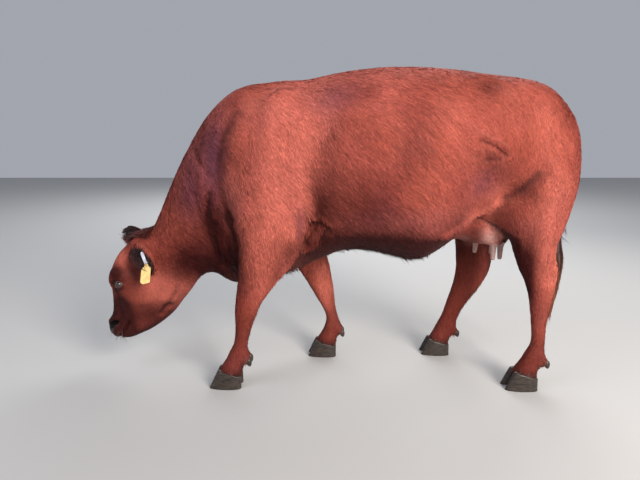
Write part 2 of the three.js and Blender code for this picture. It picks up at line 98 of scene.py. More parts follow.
# Leg rows hold only the outline's points, half width and y; the left fore stands ahead of the
# right one, and the right hind ahead of the left one.
FORELEG_LEFT = [
    [-210, 1250, -60, 1240, 26, 145],
    [-262, 1150, -24, 1140, 58, 172],
    [-318, 1040, -10, 1020, 82, 190],
    [-356, 930, -12, 900, 92, 205],
    [-368, 830, -26, 780, 94, 214],
    [-360, 740, -46, 690, 90, 216],
    [-350, 668, -78, 620, 84, 210],
    [-350, 600, -118, 558, 76, 202],
    [-354, 530, -176, 490, 64, 195],
    [-362, 455, -226, 420, 54, 190],
    [-370, 395, -258, 372, 50, 186],
    [-375, 350, -274, 335, 50, 184],
    [-374, 305, -292, 292, 43, 181],
    [-376, 250, -308, 240, 35, 179],
    [-384, 200, -320, 190, 33, 177],
    [-402, 165, -316, 146, 42, 175],
    [-422, 125, -336, 102, 42, 174],
    [-452, 80, -348, 52, 49, 174],
]
FORELEG_RIGHT = [
    [-210, 1250, -60, 1240, 26, 145],
    [-262, 1150, -24, 1140, 58, 172],
    [-318, 1040, -8, 1020, 82, 190],
    [-352, 930, -2, 905, 92, 205],
    [-358, 830, -4, 800, 94, 214],
    [-338, 740, -6, 720, 90, 216],
    [-300, 655, -4, 660, 84, 210],
    [-240, 585, 12, 610, 76, 202],
    [-172, 515, 36, 545, 64, 195],
    [-112, 445, 54, 470, 54, 190],
    [-72, 388, 64, 405, 50, 186],
    [-46, 345, 72, 358, 50, 184],
    [-20, 300, 76, 308, 43, 181],
    [10, 252, 82, 254, 35, 179],
    [30, 205, 94, 200, 33, 177],
    [26, 165, 112, 148, 42, 175],
    [8, 125, 94, 102, 42, 174],
    [-20, 80, 84, 52, 49, 174],
]
HINDLEG_LEFT = [
    [790, 1225, 1066, 1195, 60, 130],
    [742, 1115, 1086, 1090, 105, 150],
    [735, 1010, 1090, 980, 122, 158],
    [742, 910, 1084, 890, 124, 164],
    [756, 820, 1066, 800, 114, 168],
    [780, 735, 1040, 715, 98, 174],
    [804, 665, 1016, 650, 80, 180],
    [826, 600, 1014, 590, 62, 184],
    [846, 540, 1028, 548, 51, 187],
    [872, 488, 1026, 512, 46, 189],
    [893, 435, 1013, 442, 45, 191],
    [907, 378, 1000, 372, 41, 192],
    [916, 310, 992, 300, 34, 193],
    [924, 240, 990, 230, 31, 193],
    [922, 200, 990, 188, 33, 193],
    [904, 165, 992, 144, 41, 193],
    [884, 125, 970, 100, 41, 193],
    [856, 80, 960, 52, 48, 193],
]
HINDLEG_RIGHT = [
    [790, 1225, 1066, 1195, 60, 130],
    [742, 1115, 1082, 1090, 105, 150],
    [728, 1010, 1078, 985, 122, 158],
    [716, 915, 1054, 900, 124, 164],
    [698, 825, 1018, 825, 114, 168],
    [682, 745, 972, 765, 98, 174],
    [672, 670, 926, 700, 82, 180],
    [672, 600, 890, 632, 64, 184],
    [678, 540, 874, 566, 52, 187],
    [684, 485, 878, 506, 46, 189],
    [686, 430, 862, 430, 45, 191],
    [678, 372, 816, 352, 42, 192],
    [662, 318, 772, 290, 35, 193],
    [644, 262, 738, 238, 32, 193],
    [630, 215, 716, 192, 33, 193],
    [612, 172, 706, 140, 41, 193],
    [590, 128, 684, 98, 41, 193],
    [566, 80, 670, 52, 48, 193],
]
LEGS = {
    "foreleg_left": (FORELEG_LEFT, LEFT),
    "foreleg_right": (FORELEG_RIGHT, RIGHT),
    "hindleg_left": (HINDLEG_LEFT, LEFT),
    "hindleg_right": (HINDLEG_RIGHT, RIGHT),
}
TAIL = [
    [966, 1343, 978, 1272, 28, 0],
    [1030, 1316, 1008, 1252, 28, 0],
    [1084, 1266, 1044, 1224, 26, 0],
    [1118, 1200, 1080, 1180, 24, 0],
    [1134, 1120, 1097, 1110, 21, 0],
    [1140, 1030, 1105, 1026, 18, 0],
    [1137, 930, 1106, 926, 16, -3],
    [1127, 830, 1099, 826, 14, -8],
    [1115, 735, 1090, 731, 12.5, -13],
    [1102, 662, 1078, 659, 11, -17],
]
# Centre and half sizes of the bones and muscles that stand out, on both sides.
BULGES = [
    [(-914, 80, 464), (48, 34, 54)],  # rim of the eye socket
    [(-720, 60, 436), (80, 33, 104)],  # cheek
    [(-956, 36, 238), (41, 30, 46)],  # wing of the nostril
    [(-822, 64, 618), (40, 38, 42)],  # root of the ear
    [(-150, 148, 1095), (140, 88, 206)],  # shoulder blade
    [(640, 216, 1250), (130, 78, 92)],  # hip
    [(1000, 92, 1180), (70, 62, 84)],  # pin bone
]
UDDER = [(738, 0, 694), (155, 138, 80)]
FOLDS = [
    [(-412, 0, 480), (38, 20, 50)],  # tip of the brisket
    [(412, 0, 568), (44, 15, 38)],  # navel
]


def unit(vectors):
    """Vectors at length 1."""
    return vectors / np.maximum(np.linalg.norm(vectors, axis=-1, keepdims=True), 1e-9)


def signed_power(values, power):
    """|v| to a power, with the sign of v."""
    return np.sign(values) * np.abs(values) ** power


def smoothstep(values, start, end):
    """0 before start, 1 after end, and 3t^2 - 2t^3 between them. start may be the greater."""
    t = np.clip((values - start) / (end - start), 0, 1)
    return t * t * (3 - 2 * t)


def smooth_rows(rows, count):
    """Rows read evenly off a smooth curve through a table. Between rows b and c, with a before
    and d after them: (2b + (c-a)t + (2a-5b+4c-d)t^2 + (3b-a-3c+d)t^3) / 2."""
    rows = np.array(rows, float)
    rows = np.vstack([2 * rows[0] - rows[1], rows, 2 * rows[-1] - rows[-2]])
    at = np.linspace(0, len(rows) - 3, count)
    i = np.minimum(at.astype(int), len(rows) - 4)
    t = (at - i)[:, None]
    a, b, c, d = rows[i], rows[i + 1], rows[i + 2], rows[i + 3]
    bend, twist = 2 * a - 5 * b + 4 * c - d, 3 * b - a - 3 * c + d
    return (2 * b + (c - a) * t + bend * t**2 + twist * t**3) / 2


def grid_faces(rows, columns):
    """Quads of a grid of points, rows by columns, closed round its columns."""
    index = np.arange(rows * columns).reshape(rows, columns)
    index = np.hstack([index, index[:, :1]])
    corners = [index[:-1, :-1], index[1:, :-1], index[1:, 1:], index[:-1, 1:]]
    return np.stack(corners, -1).reshape(-1, 4)


def closed_tube(rings):
    """Points and faces of a tube through an array of rings, shut by a fan at each end."""
    count, around = rings.shape[:2]
    points = np.vstack([rings.reshape(-1, 3), rings[0].mean(0), rings[-1].mean(0)])
    ring = np.arange(around)
    after = np.roll(ring, -1)
    last = (count - 1) * around
    start = np.stack([ring, after, np.full(around, len(points) - 2)], -1)
    end = np.stack([last + after, last + ring, np.full(around, len(points) - 1)], -1)
    faces = [grid_faces(count, around), np.vstack([start, end])]
    return outward(points, faces)


def outward(points, faces):
    """The same closed surface with its faces turned to point outwards."""
    volume = 0
    for face in faces:
        a = points[face[:, 0]]
        for k in range(1, face.shape[1] - 1):
            volume += np.sum(a * np.cross(points[face[:, k]], points[face[:, k + 1]]))
    return points, faces if volume > 0 else [face[:, ::-1] for face in faces]


USUAL_RING = [0.5, 2.1, 2.1]  # a row's last three values, where it leaves them out


def loft(rows, around=64, per_row=6):
    """A closed loft. A ring's point at turn a is its widest point, plus cos(a)^(2/p) of the way
    to the outline point on that side, plus sin(a)^(2/p) of the half width across, where p is the
    squareness on that side."""
    rows = [list(row) + USUAL_RING[len(row) - 6 :] for row in rows]
    row = smooth_rows(rows, per_row * (len(rows) - 1) + 1)[:, None, :]
    turn = np.linspace(0, 2 * np.pi, around, endpoint=False)[None]
    cosine, sine = np.cos(turn), np.sin(turn)
    first, second = row[..., [0, 5, 1]], row[..., [2, 5, 3]]
    widest = second + (first - second) * row[..., 6:7]
    reach = np.where(cosine > 0, 1 - row[..., 6], row[..., 6])[..., None] * (first - second)
    power = 2 / np.where(cosine > 0, row[..., 7], row[..., 8])
    rings = widest + reach * signed_power(cosine, power)[..., None]
    rings[..., 1] += signed_power(sine, power) * row[..., 4]
    return closed_tube(rings)


def ball(centre, halves, along=(0, 0, 1)):
    """An ellipsoid: centre + its half sizes times a unit sphere's points, with its third axis
    turned to point along a direction."""
    down = np.linspace(0.02, np.pi - 0.02, 24)[:, None]
    turn = np.linspace(0, 2 * np.pi, 32, endpoint=False)[None]
    x, y = np.sin(down) * np.cos(turn), np.sin(down) * np.sin(turn)
    local = np.stack([x, y, np.cos(down) + 0 * turn], -1) * halves
    third = unit(np.array(along, float))
    first = unit(np.cross((0, 1, 0.01), third))
    basis = np.stack([first, np.cross(third, first), third])
    return closed_tube(local @ basis + centre)


def joined(shells):
    """Several closed surfaces as one list of points and faces."""
    points, quads, triangles, at = [], [], [], 0
    for own, faces in shells:
        for face in faces:
            (quads if face.shape[1] == 4 else triangles).append(face + at)
        points.append(own)
        at += len(own)
    return np.vstack(points), [np.vstack(group) for group in (quads, triangles) if group]


def to_model(points):
    """Table millimetres to metres from the model's origin."""
    return (points - [MIDDLE_X, 0, 0]) / 1000


def mesh_object(name, points, faces):
    """A smooth mesh object in the scene, from points in table millimetres and arrays of faces."""
    mesh = bpy.data.meshes.new(name)
    mesh.vertices.add(len(points))
    mesh.vertices.foreach_set("co", to_model(points).astype(np.float32).ravel())
    loops = np.concatenate([face.ravel() for face in faces]).astype(np.int32)
    sizes = np.concatenate([np.full(len(face), face.shape[1]) for face in faces])
    mesh.loops.add(len(loops))
    mesh.loops.foreach_set("vertex_index", loops)
    mesh.polygons.add(len(sizes))
    mesh.polygons.foreach_set("loop_start", (np.cumsum(sizes) - sizes).astype(np.int32))
    mesh.polygons.foreach_set("use_smooth", np.full(len(sizes), True))
    mesh.update(calc_edges=True)
    piece = bpy.data.objects.new(name, mesh)
    bpy.context.scene.collection.objects.link(piece)
    return piece


# The ears' places are needed here for the thick roots that the skin gives them.
EARS = {
    "left": {"root": (-838, -74, 627), "along": (0.66, -0.47, -0.58), "facing": (-0.3, -0.83, 0.28)},
    "right": {"root": (-826, 70, 632), "along": (-0.8, 0.6, -0.02), "facing": (-0.5, -0.85, 0.1)},
}

# Each quarter of the udder narrows to its teat, whose middle is given here.
TEATS = {
    "front_left": (777, -84, 590),
    "front_right": (752, 84, 588),
    "rear_left": (818, -58, 588),
    "rear_right": (822, 58, 588),
}

QUARTER_RISE, QUARTER = 66, (40, 38, 44)  # a quarter's height over its teat, and its half sizes

shells = [loft(TRUNK), loft(NECK), loft(HEAD), loft(TAIL, 24), ball(*UDDER)]
shells += [ball((x, y, z + QUARTER_RISE), QUARTER) for x, y, z in TEATS.values()]
# Each leg ends just inside its hoof, and a pad stands behind the fetlock over each dewclaw.
for rows, side in LEGS.values():
    front, high, back, low, half, y = rows[-1]
    inside_hoof = [front - 6, high - 36, back, low - 30, half - 6, y]
    shells.append(loft([row[:5] + [side * row[5]] for row in [*rows, inside_hoof]], 40))
    x, z, y = rows[-3][2] - 10, rows[-3][3] - 16, rows[-3][5]
    shells += [ball((x, side * y + away, z), (21, 17, 26)) for away in (-25, 25)]
for (x, y, z), halves in BULGES:
    shells += [ball((x, side * y, z), halves) for side in SIDES.values()]
shells += [ball(*fold) for fold in FOLDS]
for pose in EARS.values():
    along, facing = unit(np.array(pose["along"])), unit(np.array(pose["facing"]))
    shells.append(ball(pose["root"] + along * 8 - facing * 7, (20, 22, 36), along))

rough = mesh_object("skin", *joined(shells))
modifier = rough.modifiers.new("join", "REMESH")
modifier.mode = "VOXEL"
modifier.voxel_size = SKIN_CELL
modifier.adaptivity = 0
mesh = bpy.data.meshes.new_from_object(rough.evaluated_get(bpy.context.evaluated_depsgraph_get()))
bpy.data.objects.remove(rough)


def read_points(mesh):
    """A mesh's points, back in table millimetres."""
    flat = np.empty(len(mesh.vertices) * 3, np.float32)
    mesh.vertices.foreach_get("co", flat)
    return flat.reshape(-1, 3).astype(float) * 1000 + [MIDDLE_X, 0, 0]


def read_edges(mesh):
    """The pairs of points that a mesh's edges join."""
    flat = np.empty(len(mesh.edges) * 2, np.int32)
    mesh.edges.foreach_get("vertices", flat)
    return flat.reshape(-1, 2)


def read_triangles(mesh):
    """The corners of the triangles that a mesh's faces split into."""
    mesh.calc_loop_triangles()
    flat = np.empty(len(mesh.loop_triangles) * 3, np.int32)
    mesh.loop_triangles.foreach_get("vertices", flat)
    return flat.reshape(-1, 3)


def gathered(indices, vectors, count):
    """The sum of the vectors that fall on each index."""
    return np.stack([np.bincount(indices, vectors[:, k], count) for k in range(3)], -1)


def normals_of(points, triangles):
    """Each point's normal: the unit sum of its triangles' area normals."""
    a, b, c = (points[triangles[:, k]] for k in range(3))
    face = np.cross(b - a, c - a)
    return unit(gathered(triangles.T.ravel(), np.vstack([face] * 3), len(points)))


def pull(points, edges):
    """The way from each point to the mean of its neighbours."""
    start, end = edges.T
    total = gathered(start, points[end], len(points)) + gathered(end, points[start], len(points))
    count = np.bincount(edges.ravel(), minlength=len(points))[:, None]
    return total / count - points


def face_share(points):
    """0 on the neck, rising to 1 on the head: the distance ahead of the nape, smoothed."""
    ahead = -(points[:, 0] + 700) * 0.927 - (points[:, 2] - 560) * 0.375
    return smoothstep(ahead, -70, 90)


def filled(points, edges, triangles, rounds, strength):
    """Hollow places are drawn out, as where a limb meets the body, so that the parts flow into
    each other. Each round moves a point by half the sideways share of its pull and by the whole
    of the outward share, or by 0.12 of it where it leads inward."""
    for _ in range(rounds):
        normal = normals_of(points, triangles)
        move = pull(points, edges)
        out = np.sum(move * normal, -1, keepdims=True)
        sideways = move - out * normal
        points = points + strength * (0.5 * sideways + normal * np.maximum(out, 0.12 * out))
    return points


# The joins are filled most on the body, less on the face and lower legs, and least on the tail.
BODY_ROUNDS, EVEN_ROUNDS, FACE_ROUNDS = 55, 6, 12
points, edges, triangles = read_points(mesh), read_edges(mesh), read_triangles(mesh)
low = smoothstep(points[:, 2], 560, 380)
on_tail = smoothstep(points[:, 0], 1086, 1092)
soft = (1 - 0.85 * face_share(points)) * (1 - 0.8 * low) * (1 - on_tail)
points = filled(points, edges, triangles, BODY_ROUNDS, 0.9 * soft[:, None])
points = filled(points, edges, triangles, EVEN_ROUNDS, 0.6 * (1 - 0.7 * on_tail[:, None]))


def refined(points, mesh, inside):
    """The mesh with each face inside a region split in four, and its points as an array."""
    mesh.vertices.foreach_set("co", to_model(points).astype(np.float32).ravel())
    split = bmesh.new()
    split.from_mesh(mesh)
    split.verts.ensure_lookup_table()
    edges = [edge for edge in split.edges if all(inside[corner.index] for corner in edge.verts)]
    bmesh.ops.subdivide_edges(split, edges=edges, cuts=1, use_grid_fill=True)
    split.to_mesh(mesh)
    split.free()
    return read_points(mesh)


# The head is split once, and the sockets and the muzzle once more, so that their detail is fine.
points = refined(points, mesh, face_share(points) > 0.5)
EYE_CENTRE, EYE_RADIUS = np.array([-907, 97, 447]), 20
SOCKET_REACH = 42
near_eye = np.linalg.norm((points - EYE_CENTRE * [1, 0, 1]) * [1, 0, 1], axis=1) < SOCKET_REACH
muzzle = (points[:, 0] < -885) & (points[:, 2] < 290)
points = refined(points, mesh, (near_eye & (np.abs(points[:, 1]) > 70)) | muzzle)
edges, triangles = read_edges(mesh), read_triangles(mesh)
points = filled(points, edges, triangles, FACE_ROUNDS, 0.8 * face_share(points)[:, None])

# Grooves that are darker too, as paths in the side view.
NECK_GROOVE = [(-352, 1199), (-402, 1102), (-428, 982), (-418, 870), (-376, 760)]
DEWLAP_FOLD = [(-469, 862), (-489, 764), (-476, 664), (-447, 563)]
BRISKET_FOLD = [(-396, 775), (-365, 709), (-351, 619), (-361, 500)]
JAW_GROOVE = [(-654, 430), (-695, 346), (-735, 295)]
MOUTH_LINE = [(-948, 150), (-934, 185), (-912, 222), (-888, 258)]
UDDER_TOP = [(650, 762), (692, 757), (748, 731), (791, 700), (813, 673), (822, 638)]
# Folds, muscles and hollows, as height, width, side (0 for both) and a path in the side view.
RELIEF = [
    # round the shoulder
    [-12, 52, 0, [(0, 1130), (-14, 1040), (-4, 930), (-2, 830), (-14, 760)]],
    [8, 46, 0, [(-98, 1120), (-108, 1030), (-96, 920), (-84, 830)]],
    [7, 70, 0, [(-215, 1100), (-215, 932), (-238, 830)]],
    [-12, 34, 0, NECK_GROOVE],
    # elbow and forearm
    [-20, 17, -1, [(-22, 742), (-46, 700), (-58, 652)]],
    [8, 10, -1, [(4, 716), (-14, 668), (-34, 628)]],
    [-8, 9, -1, [(22, 712), (4, 664)]],
    [10, 9, -1, [(-50, 775), (-77, 655), (-120, 578), (-164, 523), (-197, 467), (-231, 388)]],
    [8, 9, 1, [(-30, 775), (-22, 665), (0, 600), (28, 530), (48, 450)]],
    [7, 9, -1, [(-53, 778), (-2, 762), (39, 740)]],
    # flank, stifle and udder
    [5, 14, 0, [(618, 1098), (676, 1078), (738, 1046)]],
    [-6, 12, 0, [(622, 1076), (680, 1053), (735, 1020)]],
    [-4, 13, 0, [(645, 1010), (708, 1008)]],
    [-4, 13, 0, [(648, 957), (700, 984)]],
    [-17, 27, 0, [(885, 968), (835, 905), (752, 850)]],
    [9, 32, 0, [(722, 872), (700, 842)]],
    [11, 11, -1, [(772, 838), (710, 809), (660, 778), (570, 726), (499, 689)]],
    [-9, 10, 0, UDDER_TOP],
    # hip and rump
    [-18, 60, 0, [(612, 1290), (632, 1266)]],
    [8, 60, 0, [(735, 1292), (750, 1280)]],
    [-9, 55, 0, [(835, 1235), (885, 1150)]],
    # back of the thigh and of the hock
    [-7, 22, -1, [(960, 900), (976, 828), (969, 669)]],
    [-12, 17, -1, [(975, 640), (985, 560), (972, 500)]],
    [-12, 17, 1, [(885, 700), (868, 620), (838, 530)]],
    # dewlap, brisket and neck
    [-9, 14, 0, DEWLAP_FOLD],
    [-8, 12, 0, [(-440, 790), (-458, 638), (-452, 535)]],
    [-6, 15, 0, BRISKET_FOLD],
    [-6, 12, 0, [(-547, 862), (-529, 774), (-510, 707)]],
    [-6, 14, 0, [(-546, 1054), (-506, 991), (-455, 927)]],
    [5, 16, 0, [(-475, 1180), (-500, 1020), (-520, 880)]],
    # face and jaw
    [4, 20, 0, [(-905, 402), (-880, 374), (-834, 359), (-780, 366)]],
    [8, 20, 0, [(-948, 506), (-912, 500), (-880, 486)]],
    [-7, 12, 0, JAW_GROOVE],
    [5, 10, 0, [(-640, 432), (-659, 373), (-700, 312)]],
    [-8, 16, 0, [(-868, 535), (-840, 500), (-826, 462)]],
    [-6, 14, 0, [(-925, 405), (-935, 340), (-925, 290)]],
]
# Centre and radii of the three hollows that make up a nostril.
NOSTRIL = [
    [(-977, 49, 234), (12, 14, 13)],
    [(-968, 53, 245), (12, 14, 12)],
    [(-955, 58, 254), (13, 14, 8)],
]
MOUTH_DEPTH, MOUTH_WIDTH, MOUTH_TOP = 11, 5, 275
LIP = [(-962, 175), (-938, 232)]
LIP_RISE, LIP_WIDTH = 3, 12
NOSTRIL_DEPTH = 32


def away_from(points, path):
    """The distance in the side view from each point to the nearest stretch of a path."""
    at = points[:, [0, 2]]
    nearest = np.full(len(at), 1e9)
    for start, end in zip(np.array(path[:-1], float), np.array(path[1:], float)):
        step = end - start
        share = np.clip((at - start) @ step / (step @ step), 0, 1)[:, None]
        nearest = np.minimum(nearest, np.linalg.norm(at - start - share * step, axis=1))
    return nearest


def beside(points, path, width):
    """exp(-d^2), where d is the distance from a side-view path in units of a width."""
    return np.exp(-((away_from(points, path) / width) ** 2))


def blob(points, centre, radii):
    """exp(-d^2), where d is the distance from a centre in units of the radii. It is on both
    sides: the centre's y is a distance from the middle plane."""
    off = (np.abs(points * [0, 1, 0]) + points * [1, 0, 1] - centre) / radii
    return np.exp(-np.sum(off * off, axis=1))


def noise(points, size, seed):
    """Smooth random values from -1 to 1. Each corner of a lattice of cubes of that size has a
    fixed random value, and a point takes the smoothly weighted mean of its cube's corners."""
    scaled = points / size
    cube = np.floor(scaled).astype(np.int64)
    part = scaled - cube
    part = part * part * (3 - 2 * part)
    total = np.zeros(len(points))
    for corner in np.ndindex(2, 2, 2):
        at = cube + corner
        mixed = at[:, 0] * 73856093 ^ at[:, 1] * 19349663 ^ at[:, 2] * 83492791
        mixed = mixed ^ (seed + 7) * 2654435761
        mixed = (mixed ^ (mixed >> 13)) * 1274126177
        value = ((mixed ^ (mixed >> 16)) & 0xFFFF) / 32767.5 - 1
        total += value * np.prod(np.where(corner, part, 1 - part), axis=1)
    return total


def tail_share(points):
    """1 on the tail below its root, and 0 elsewhere."""
    return smoothstep(points[:, 0], 1084, 1092) * smoothstep(points[:, 2], 1200, 1150)


# Relief shows only where the skin faces sideways.
normal = normals_of(points, triangles)
sideways = smoothstep(np.abs(normal[:, 1]), 0.2, 0.6)
height = np.zeros(len(points))
for rise, width, side, path in RELIEF:
    on_side = points[:, 1] * side >= 0  # all points, where side is 0
    height += rise * sideways * on_side * beside(points, path, width)
height -= MOUTH_DEPTH * beside(points, MOUTH_LINE, MOUTH_WIDTH) * (points[:, 2] < MOUTH_TOP)
height += LIP_RISE * beside(points, LIP, LIP_WIDTH)
# The nostril is a comma-shaped hole in a raised wing, with a groove behind it. A shallow furrow
# runs down the middle of the upper lip.
nostril = np.minimum(1, np.sum([blob(points, *part) for part in NOSTRIL], axis=0))
height += 7 * blob(points, (-972, 48, 243), (32, 30, 34)) - NOSTRIL_DEPTH * nostril
height -= 5 * blob(points, (-936, 55, 250), (9, 18, 30))
height -= 3 * np.exp(-((points[:, 1] / 3.5) ** 2)) * blob(points, (-1000, 0, 205), (30, 30, 45))
# Broad, shallow waves keep the flesh from looking turned on a lathe.
height += (1 - 0.7 * face_share(points)) * (2 * noise(points, 190, 1) + 1 * noise(points, 75, 2))
points = points + normal * height[:, None]


def coat_depth(points):
    """How deep the skin lies under the coat's tips: 6.5 on the body, 2.5 on the face and the feet,
    and 0 on the tail."""
    fine = np.maximum(face_share(points), smoothstep(points[:, 2], 600, 330))
    return (6.5 - 4 * fine) * (1 - tail_share(points))


normal = normals_of(points, triangles)
points = points - normal * coat_depth(points)[:, None]

EYE_WAY = unit(np.array([-0.3, 0.94, 0.12]))
LID_REACH = np.array([33, 28])  # how far the lids' skin reaches, lengthwise and upward


def eye_frame(side):
    """An eye's outward, lengthwise and upward axes, and its centre."""
    way = EYE_WAY * [1, side, 1]
    along = unit(np.array([1, 0, 0.1]) - way * (way @ [1, 0, 0.1]))
    up = np.cross(way, along) * -side
    return way, along, up, EYE_CENTRE * [1, side, 1]


def around_eye(points, side):
    """Each point's height over the eye's centre, and its distance from the eye's axis as a
    share of the lids' reach. Points behind the eye are put far off."""
    way, along, up, centre = eye_frame(side)
    off = points - centre
    share = np.hypot(off @ along / LID_REACH[0], off @ up / LID_REACH[1])
    return off @ way, np.where(off @ way > -5, share, 9)


# The skin opens under the lids: within the socket it is pressed in below the eyeball's front.
unpressed = points
for side in SIDES.values():
    ahead, share = around_eye(points, side)
    press = np.where(share < 0.92, np.minimum(0, 2 + 40 * smoothstep(share, 0.5, 0.92) - ahead), 0)
    points = points + press[:, None] * eye_frame(side)[0]

mesh.vertices.foreach_set("co", to_model(points).astype(np.float32).ravel())
mesh.polygons.foreach_set("use_smooth", np.full(len(mesh.polygons), True))
mesh.update()
mesh.name = "skin"
skin = bpy.data.objects.new("skin", mesh)
bpy.context.scene.collection.objects.link(skin)
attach(skin, "root")
FLESH = ["head", "neck", "trunk", "foreleg_left", "foreleg_right", "hindleg_left", "hindleg_right"]
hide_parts(*FLESH, "udder", "tail")

# ------------------------------------------------------------------------------ the coat's colour
# The hair is chestnut red, darker on brows, muzzle, dewlap and feet. Painted highlights brighten
# forehead, cheek, shoulder, back, thigh and udder where light falls on them, a painted grey-violet
# sheen lies on neck, withers and flank, and painted shade darkens hollows, folds, creases and
# undersides. Skin and hair take their colour from the same marks.

CHESTNUT = np.array([0.235, 0.044, 0.029])
BRIGHT = np.array([0.56, 0.142, 0.1])
DARK = np.array([0.032, 0.0062, 0.0062])
PAINTED_SHEEN = np.array([0.145, 0.046, 0.066])  # painted sheen: a grey-violet reflection on the glossy hair
BARE = np.array([0.03, 0.014, 0.0135])  # the muzzle's bare skin
# Amount, centre with y as a distance from the middle plane, and radii. Each dark mark is darker
# hair, unless its comment calls it painted shade or painted shadow.
DARK_HAIR_AND_SHADE_MARKS = [
    [1.15, (-916, 88, 500), (46, 60, 40)],  # brow
    [1.2, (-940, 40, 262), (80, 95, 80)],  # muzzle
    [0.95, (-918, 85, 340), (50, 65, 80)],  # side of the nose
    [0.5, (-780, 60, 325), (70, 80, 60)],  # painted shade under the jaw
    [0.6, (-907, 110, 447), (36, 30, 25)],  # eye socket
    [0.6, (-834, 95, 498), (34, 50, 50)],  # behind the eye
    [0.6, (-395, 150, 690), (70, 190, 170)],  # painted shade at the front of the chest
    [0.5, (-330, 150, 560), (90, 120, 90)],  # painted shade on the brisket
    [0.62, (-520, 60, 555), (110, 180, 105)],  # dewlap
    [0.5, (-615, 80, 580), (70, 120, 90)],  # painted shade on the throat
    [0.35, (-480, 100, 1075), (70, 120, 70)],  # painted shade on the side of the neck
    [0.35, (-355, 200, 1020), (50, 130, 110)],  # painted shade at the front of the shoulder
    [0.5, (-120, 250, 650), (60, 90, 60)],  # painted shade round the elbow
    [0.7, (-815, 100, 590), (40, 60, 50)],  # root of the ear
    [0.35, (848, 280, 865), (45, 90, 40)],  # painted shade in the groove over the stifle
    [0.75, (-478, 150, 750), (60, 150, 100)],  # painted shade on the upper dewlap
    [0.35, (-600, 60, 800), (70, 120, 190)],  # lower neck
    [0.6, (-2, 300, 815), (40, 120, 100)],  # painted shade behind the shoulder
    [0.2, (245, 380, 870), (70, 120, 80)],  # painted shade on the ribs
    [0.25, (728, 300, 972), (52, 100, 50)],  # painted shade in the flank
    [0.35, (-665, 40, 500), (60, 90, 100)],  # painted shade behind the jaw
    [0.5, (655, 260, 1283), (66, 90, 46)],  # painted shade in the hollow before the hip
    [0.2, (20, 330, 930), (60, 120, 150)],  # painted shade behind the shoulder
    [0.45, (118, 330, 850), (100, 130, 110)],  # painted shade on the ribs behind the elbow
    [0.25, (340, 380, 1030), (80, 130, 160)],  # painted shade on the ribs
    [0.2, (10, 260, 690), (60, 160, 60)],  # painted shade behind the elbow
    [1.1, (160, 170, 635), (190, 260, 52)],  # painted shade on the underside of the chest
    [0.7, (400, 200, 635), (160, 260, 48)],  # painted shade on the underside of the belly
    [0.15, (735, 300, 930), (80, 100, 60)],  # painted shade on the flank
    [1.2, (735, 205, 585), (70, 70, 75)],  # painted shadow on the right gaskin
    [0.7, (765, 205, 500), (60, 50, 120)],  # painted shadow on the right gaskin, lower down
    [0.55, (690, 140, 690), (50, 70, 30)],  # painted shade before the udder
    [1.1, (830, 160, 650), (38, 60, 60)],  # painted shadow on the left gaskin, in front
    [0.45, (895, 190, 450), (36, 60, 70)],  # painted shade on the left hock, in front
    [0.25, (560, 300, 765), (50, 100, 50)],  # painted shade in the fold of the flank
    [0.3, (-30, 330, 920), (30, 120, 130)],  # painted shade behind the shoulder
    [0.3, (-320, 200, 680), (50, 100, 60)],  # painted shade on the left forearm, in front
    [0.8, (650, 130, 636), (75, 90, 24)],  # painted shade on the belly before the udder
    [0.9, (-925, 60, 180), (70, 80, 60)],  # painted shadow on the chin
    [0.45, (668, 250, 1026), (50, 100, 24)],  # painted shade in the folds of the flank
    [0.3, (620, 280, 985), (60, 100, 50)],  # painted shade in the folds of the flank
    [0.15, (1010, 100, 1180), (60, 120, 90)],  # pin bone
    [1.0, (872, 210, 540), (38, 100, 170)],  # painted shadow on the left gaskin, in front
]
# Painted highlights where light falls on the body: amount, centre and radii.
HIGHLIGHT_MARKS = [
    [1.2, (-916, 50, 562), (52, 75, 34)],  # forehead
    [1.1, (-722, 100, 420), (75, 70, 85)],  # cheek
    [1.0, (-640, 80, 405), (42, 80, 105)],  # edge of the jaw
    [1.05, (-130, 260, 1000), (110, 140, 270)],  # shoulder blade
    [0.85, (-230, 210, 740), (120, 120, 170)],  # upper arm
    [1.1, (-365, 200, 830), (48, 120, 120)],  # point of the shoulder
    [0.7, (-240, 180, 1220), (110, 170, 90)],  # before the withers
    [0.9, (0, 220, 1190), (60, 160, 130)],  # behind the withers
    [0.1, (300, 380, 1100), (300, 180, 170)],  # ribs
    [0.5, (340, 120, 1345), (330, 200, 55)],  # back
    [0.5, (820, 220, 1190), (150, 120, 130)],  # rump
    [0.85, (925, 240, 800), (95, 120, 260)],  # thigh
    [0.9, (725, 260, 858), (60, 90, 42)],  # stifle
    [1.3, (748, 130, 675), (50, 110, 60)],  # udder
    [0.6, (745, 130, 770), (60, 110, 40)],  # over the udder
    [0.5, (715, 245, 793), (44, 90, 34)],  # below the stifle
    [1.2, (702, 230, 764), (52, 80, 24)],  # edge of the flank's fold
    [0.4, (-125, 260, 800), (60, 120, 110)],  # over the elbow
    [0.45, (480, 300, 1200), (80, 140, 110)],  # last ribs
    [0.6, (600, 250, 770), (60, 120, 40)],  # lower flank
    [1.3, (15, 190, 370), (40, 80, 150)],  # right knee
    [0.45, (330, 330, 745), (230, 150, 60)],  # side of the belly
    [0.5, (760, 150, 1310), (90, 160, 50)],  # top of the rump
    [0.5, (-120, 120, 1310), (140, 160, 50)],  # withers
    [0.5, (-240, 200, 470), (60, 100, 150)],  # left forearm, behind
    [1.1, (1008, 210, 555), (55, 120, 110)],  # left hock, behind
]
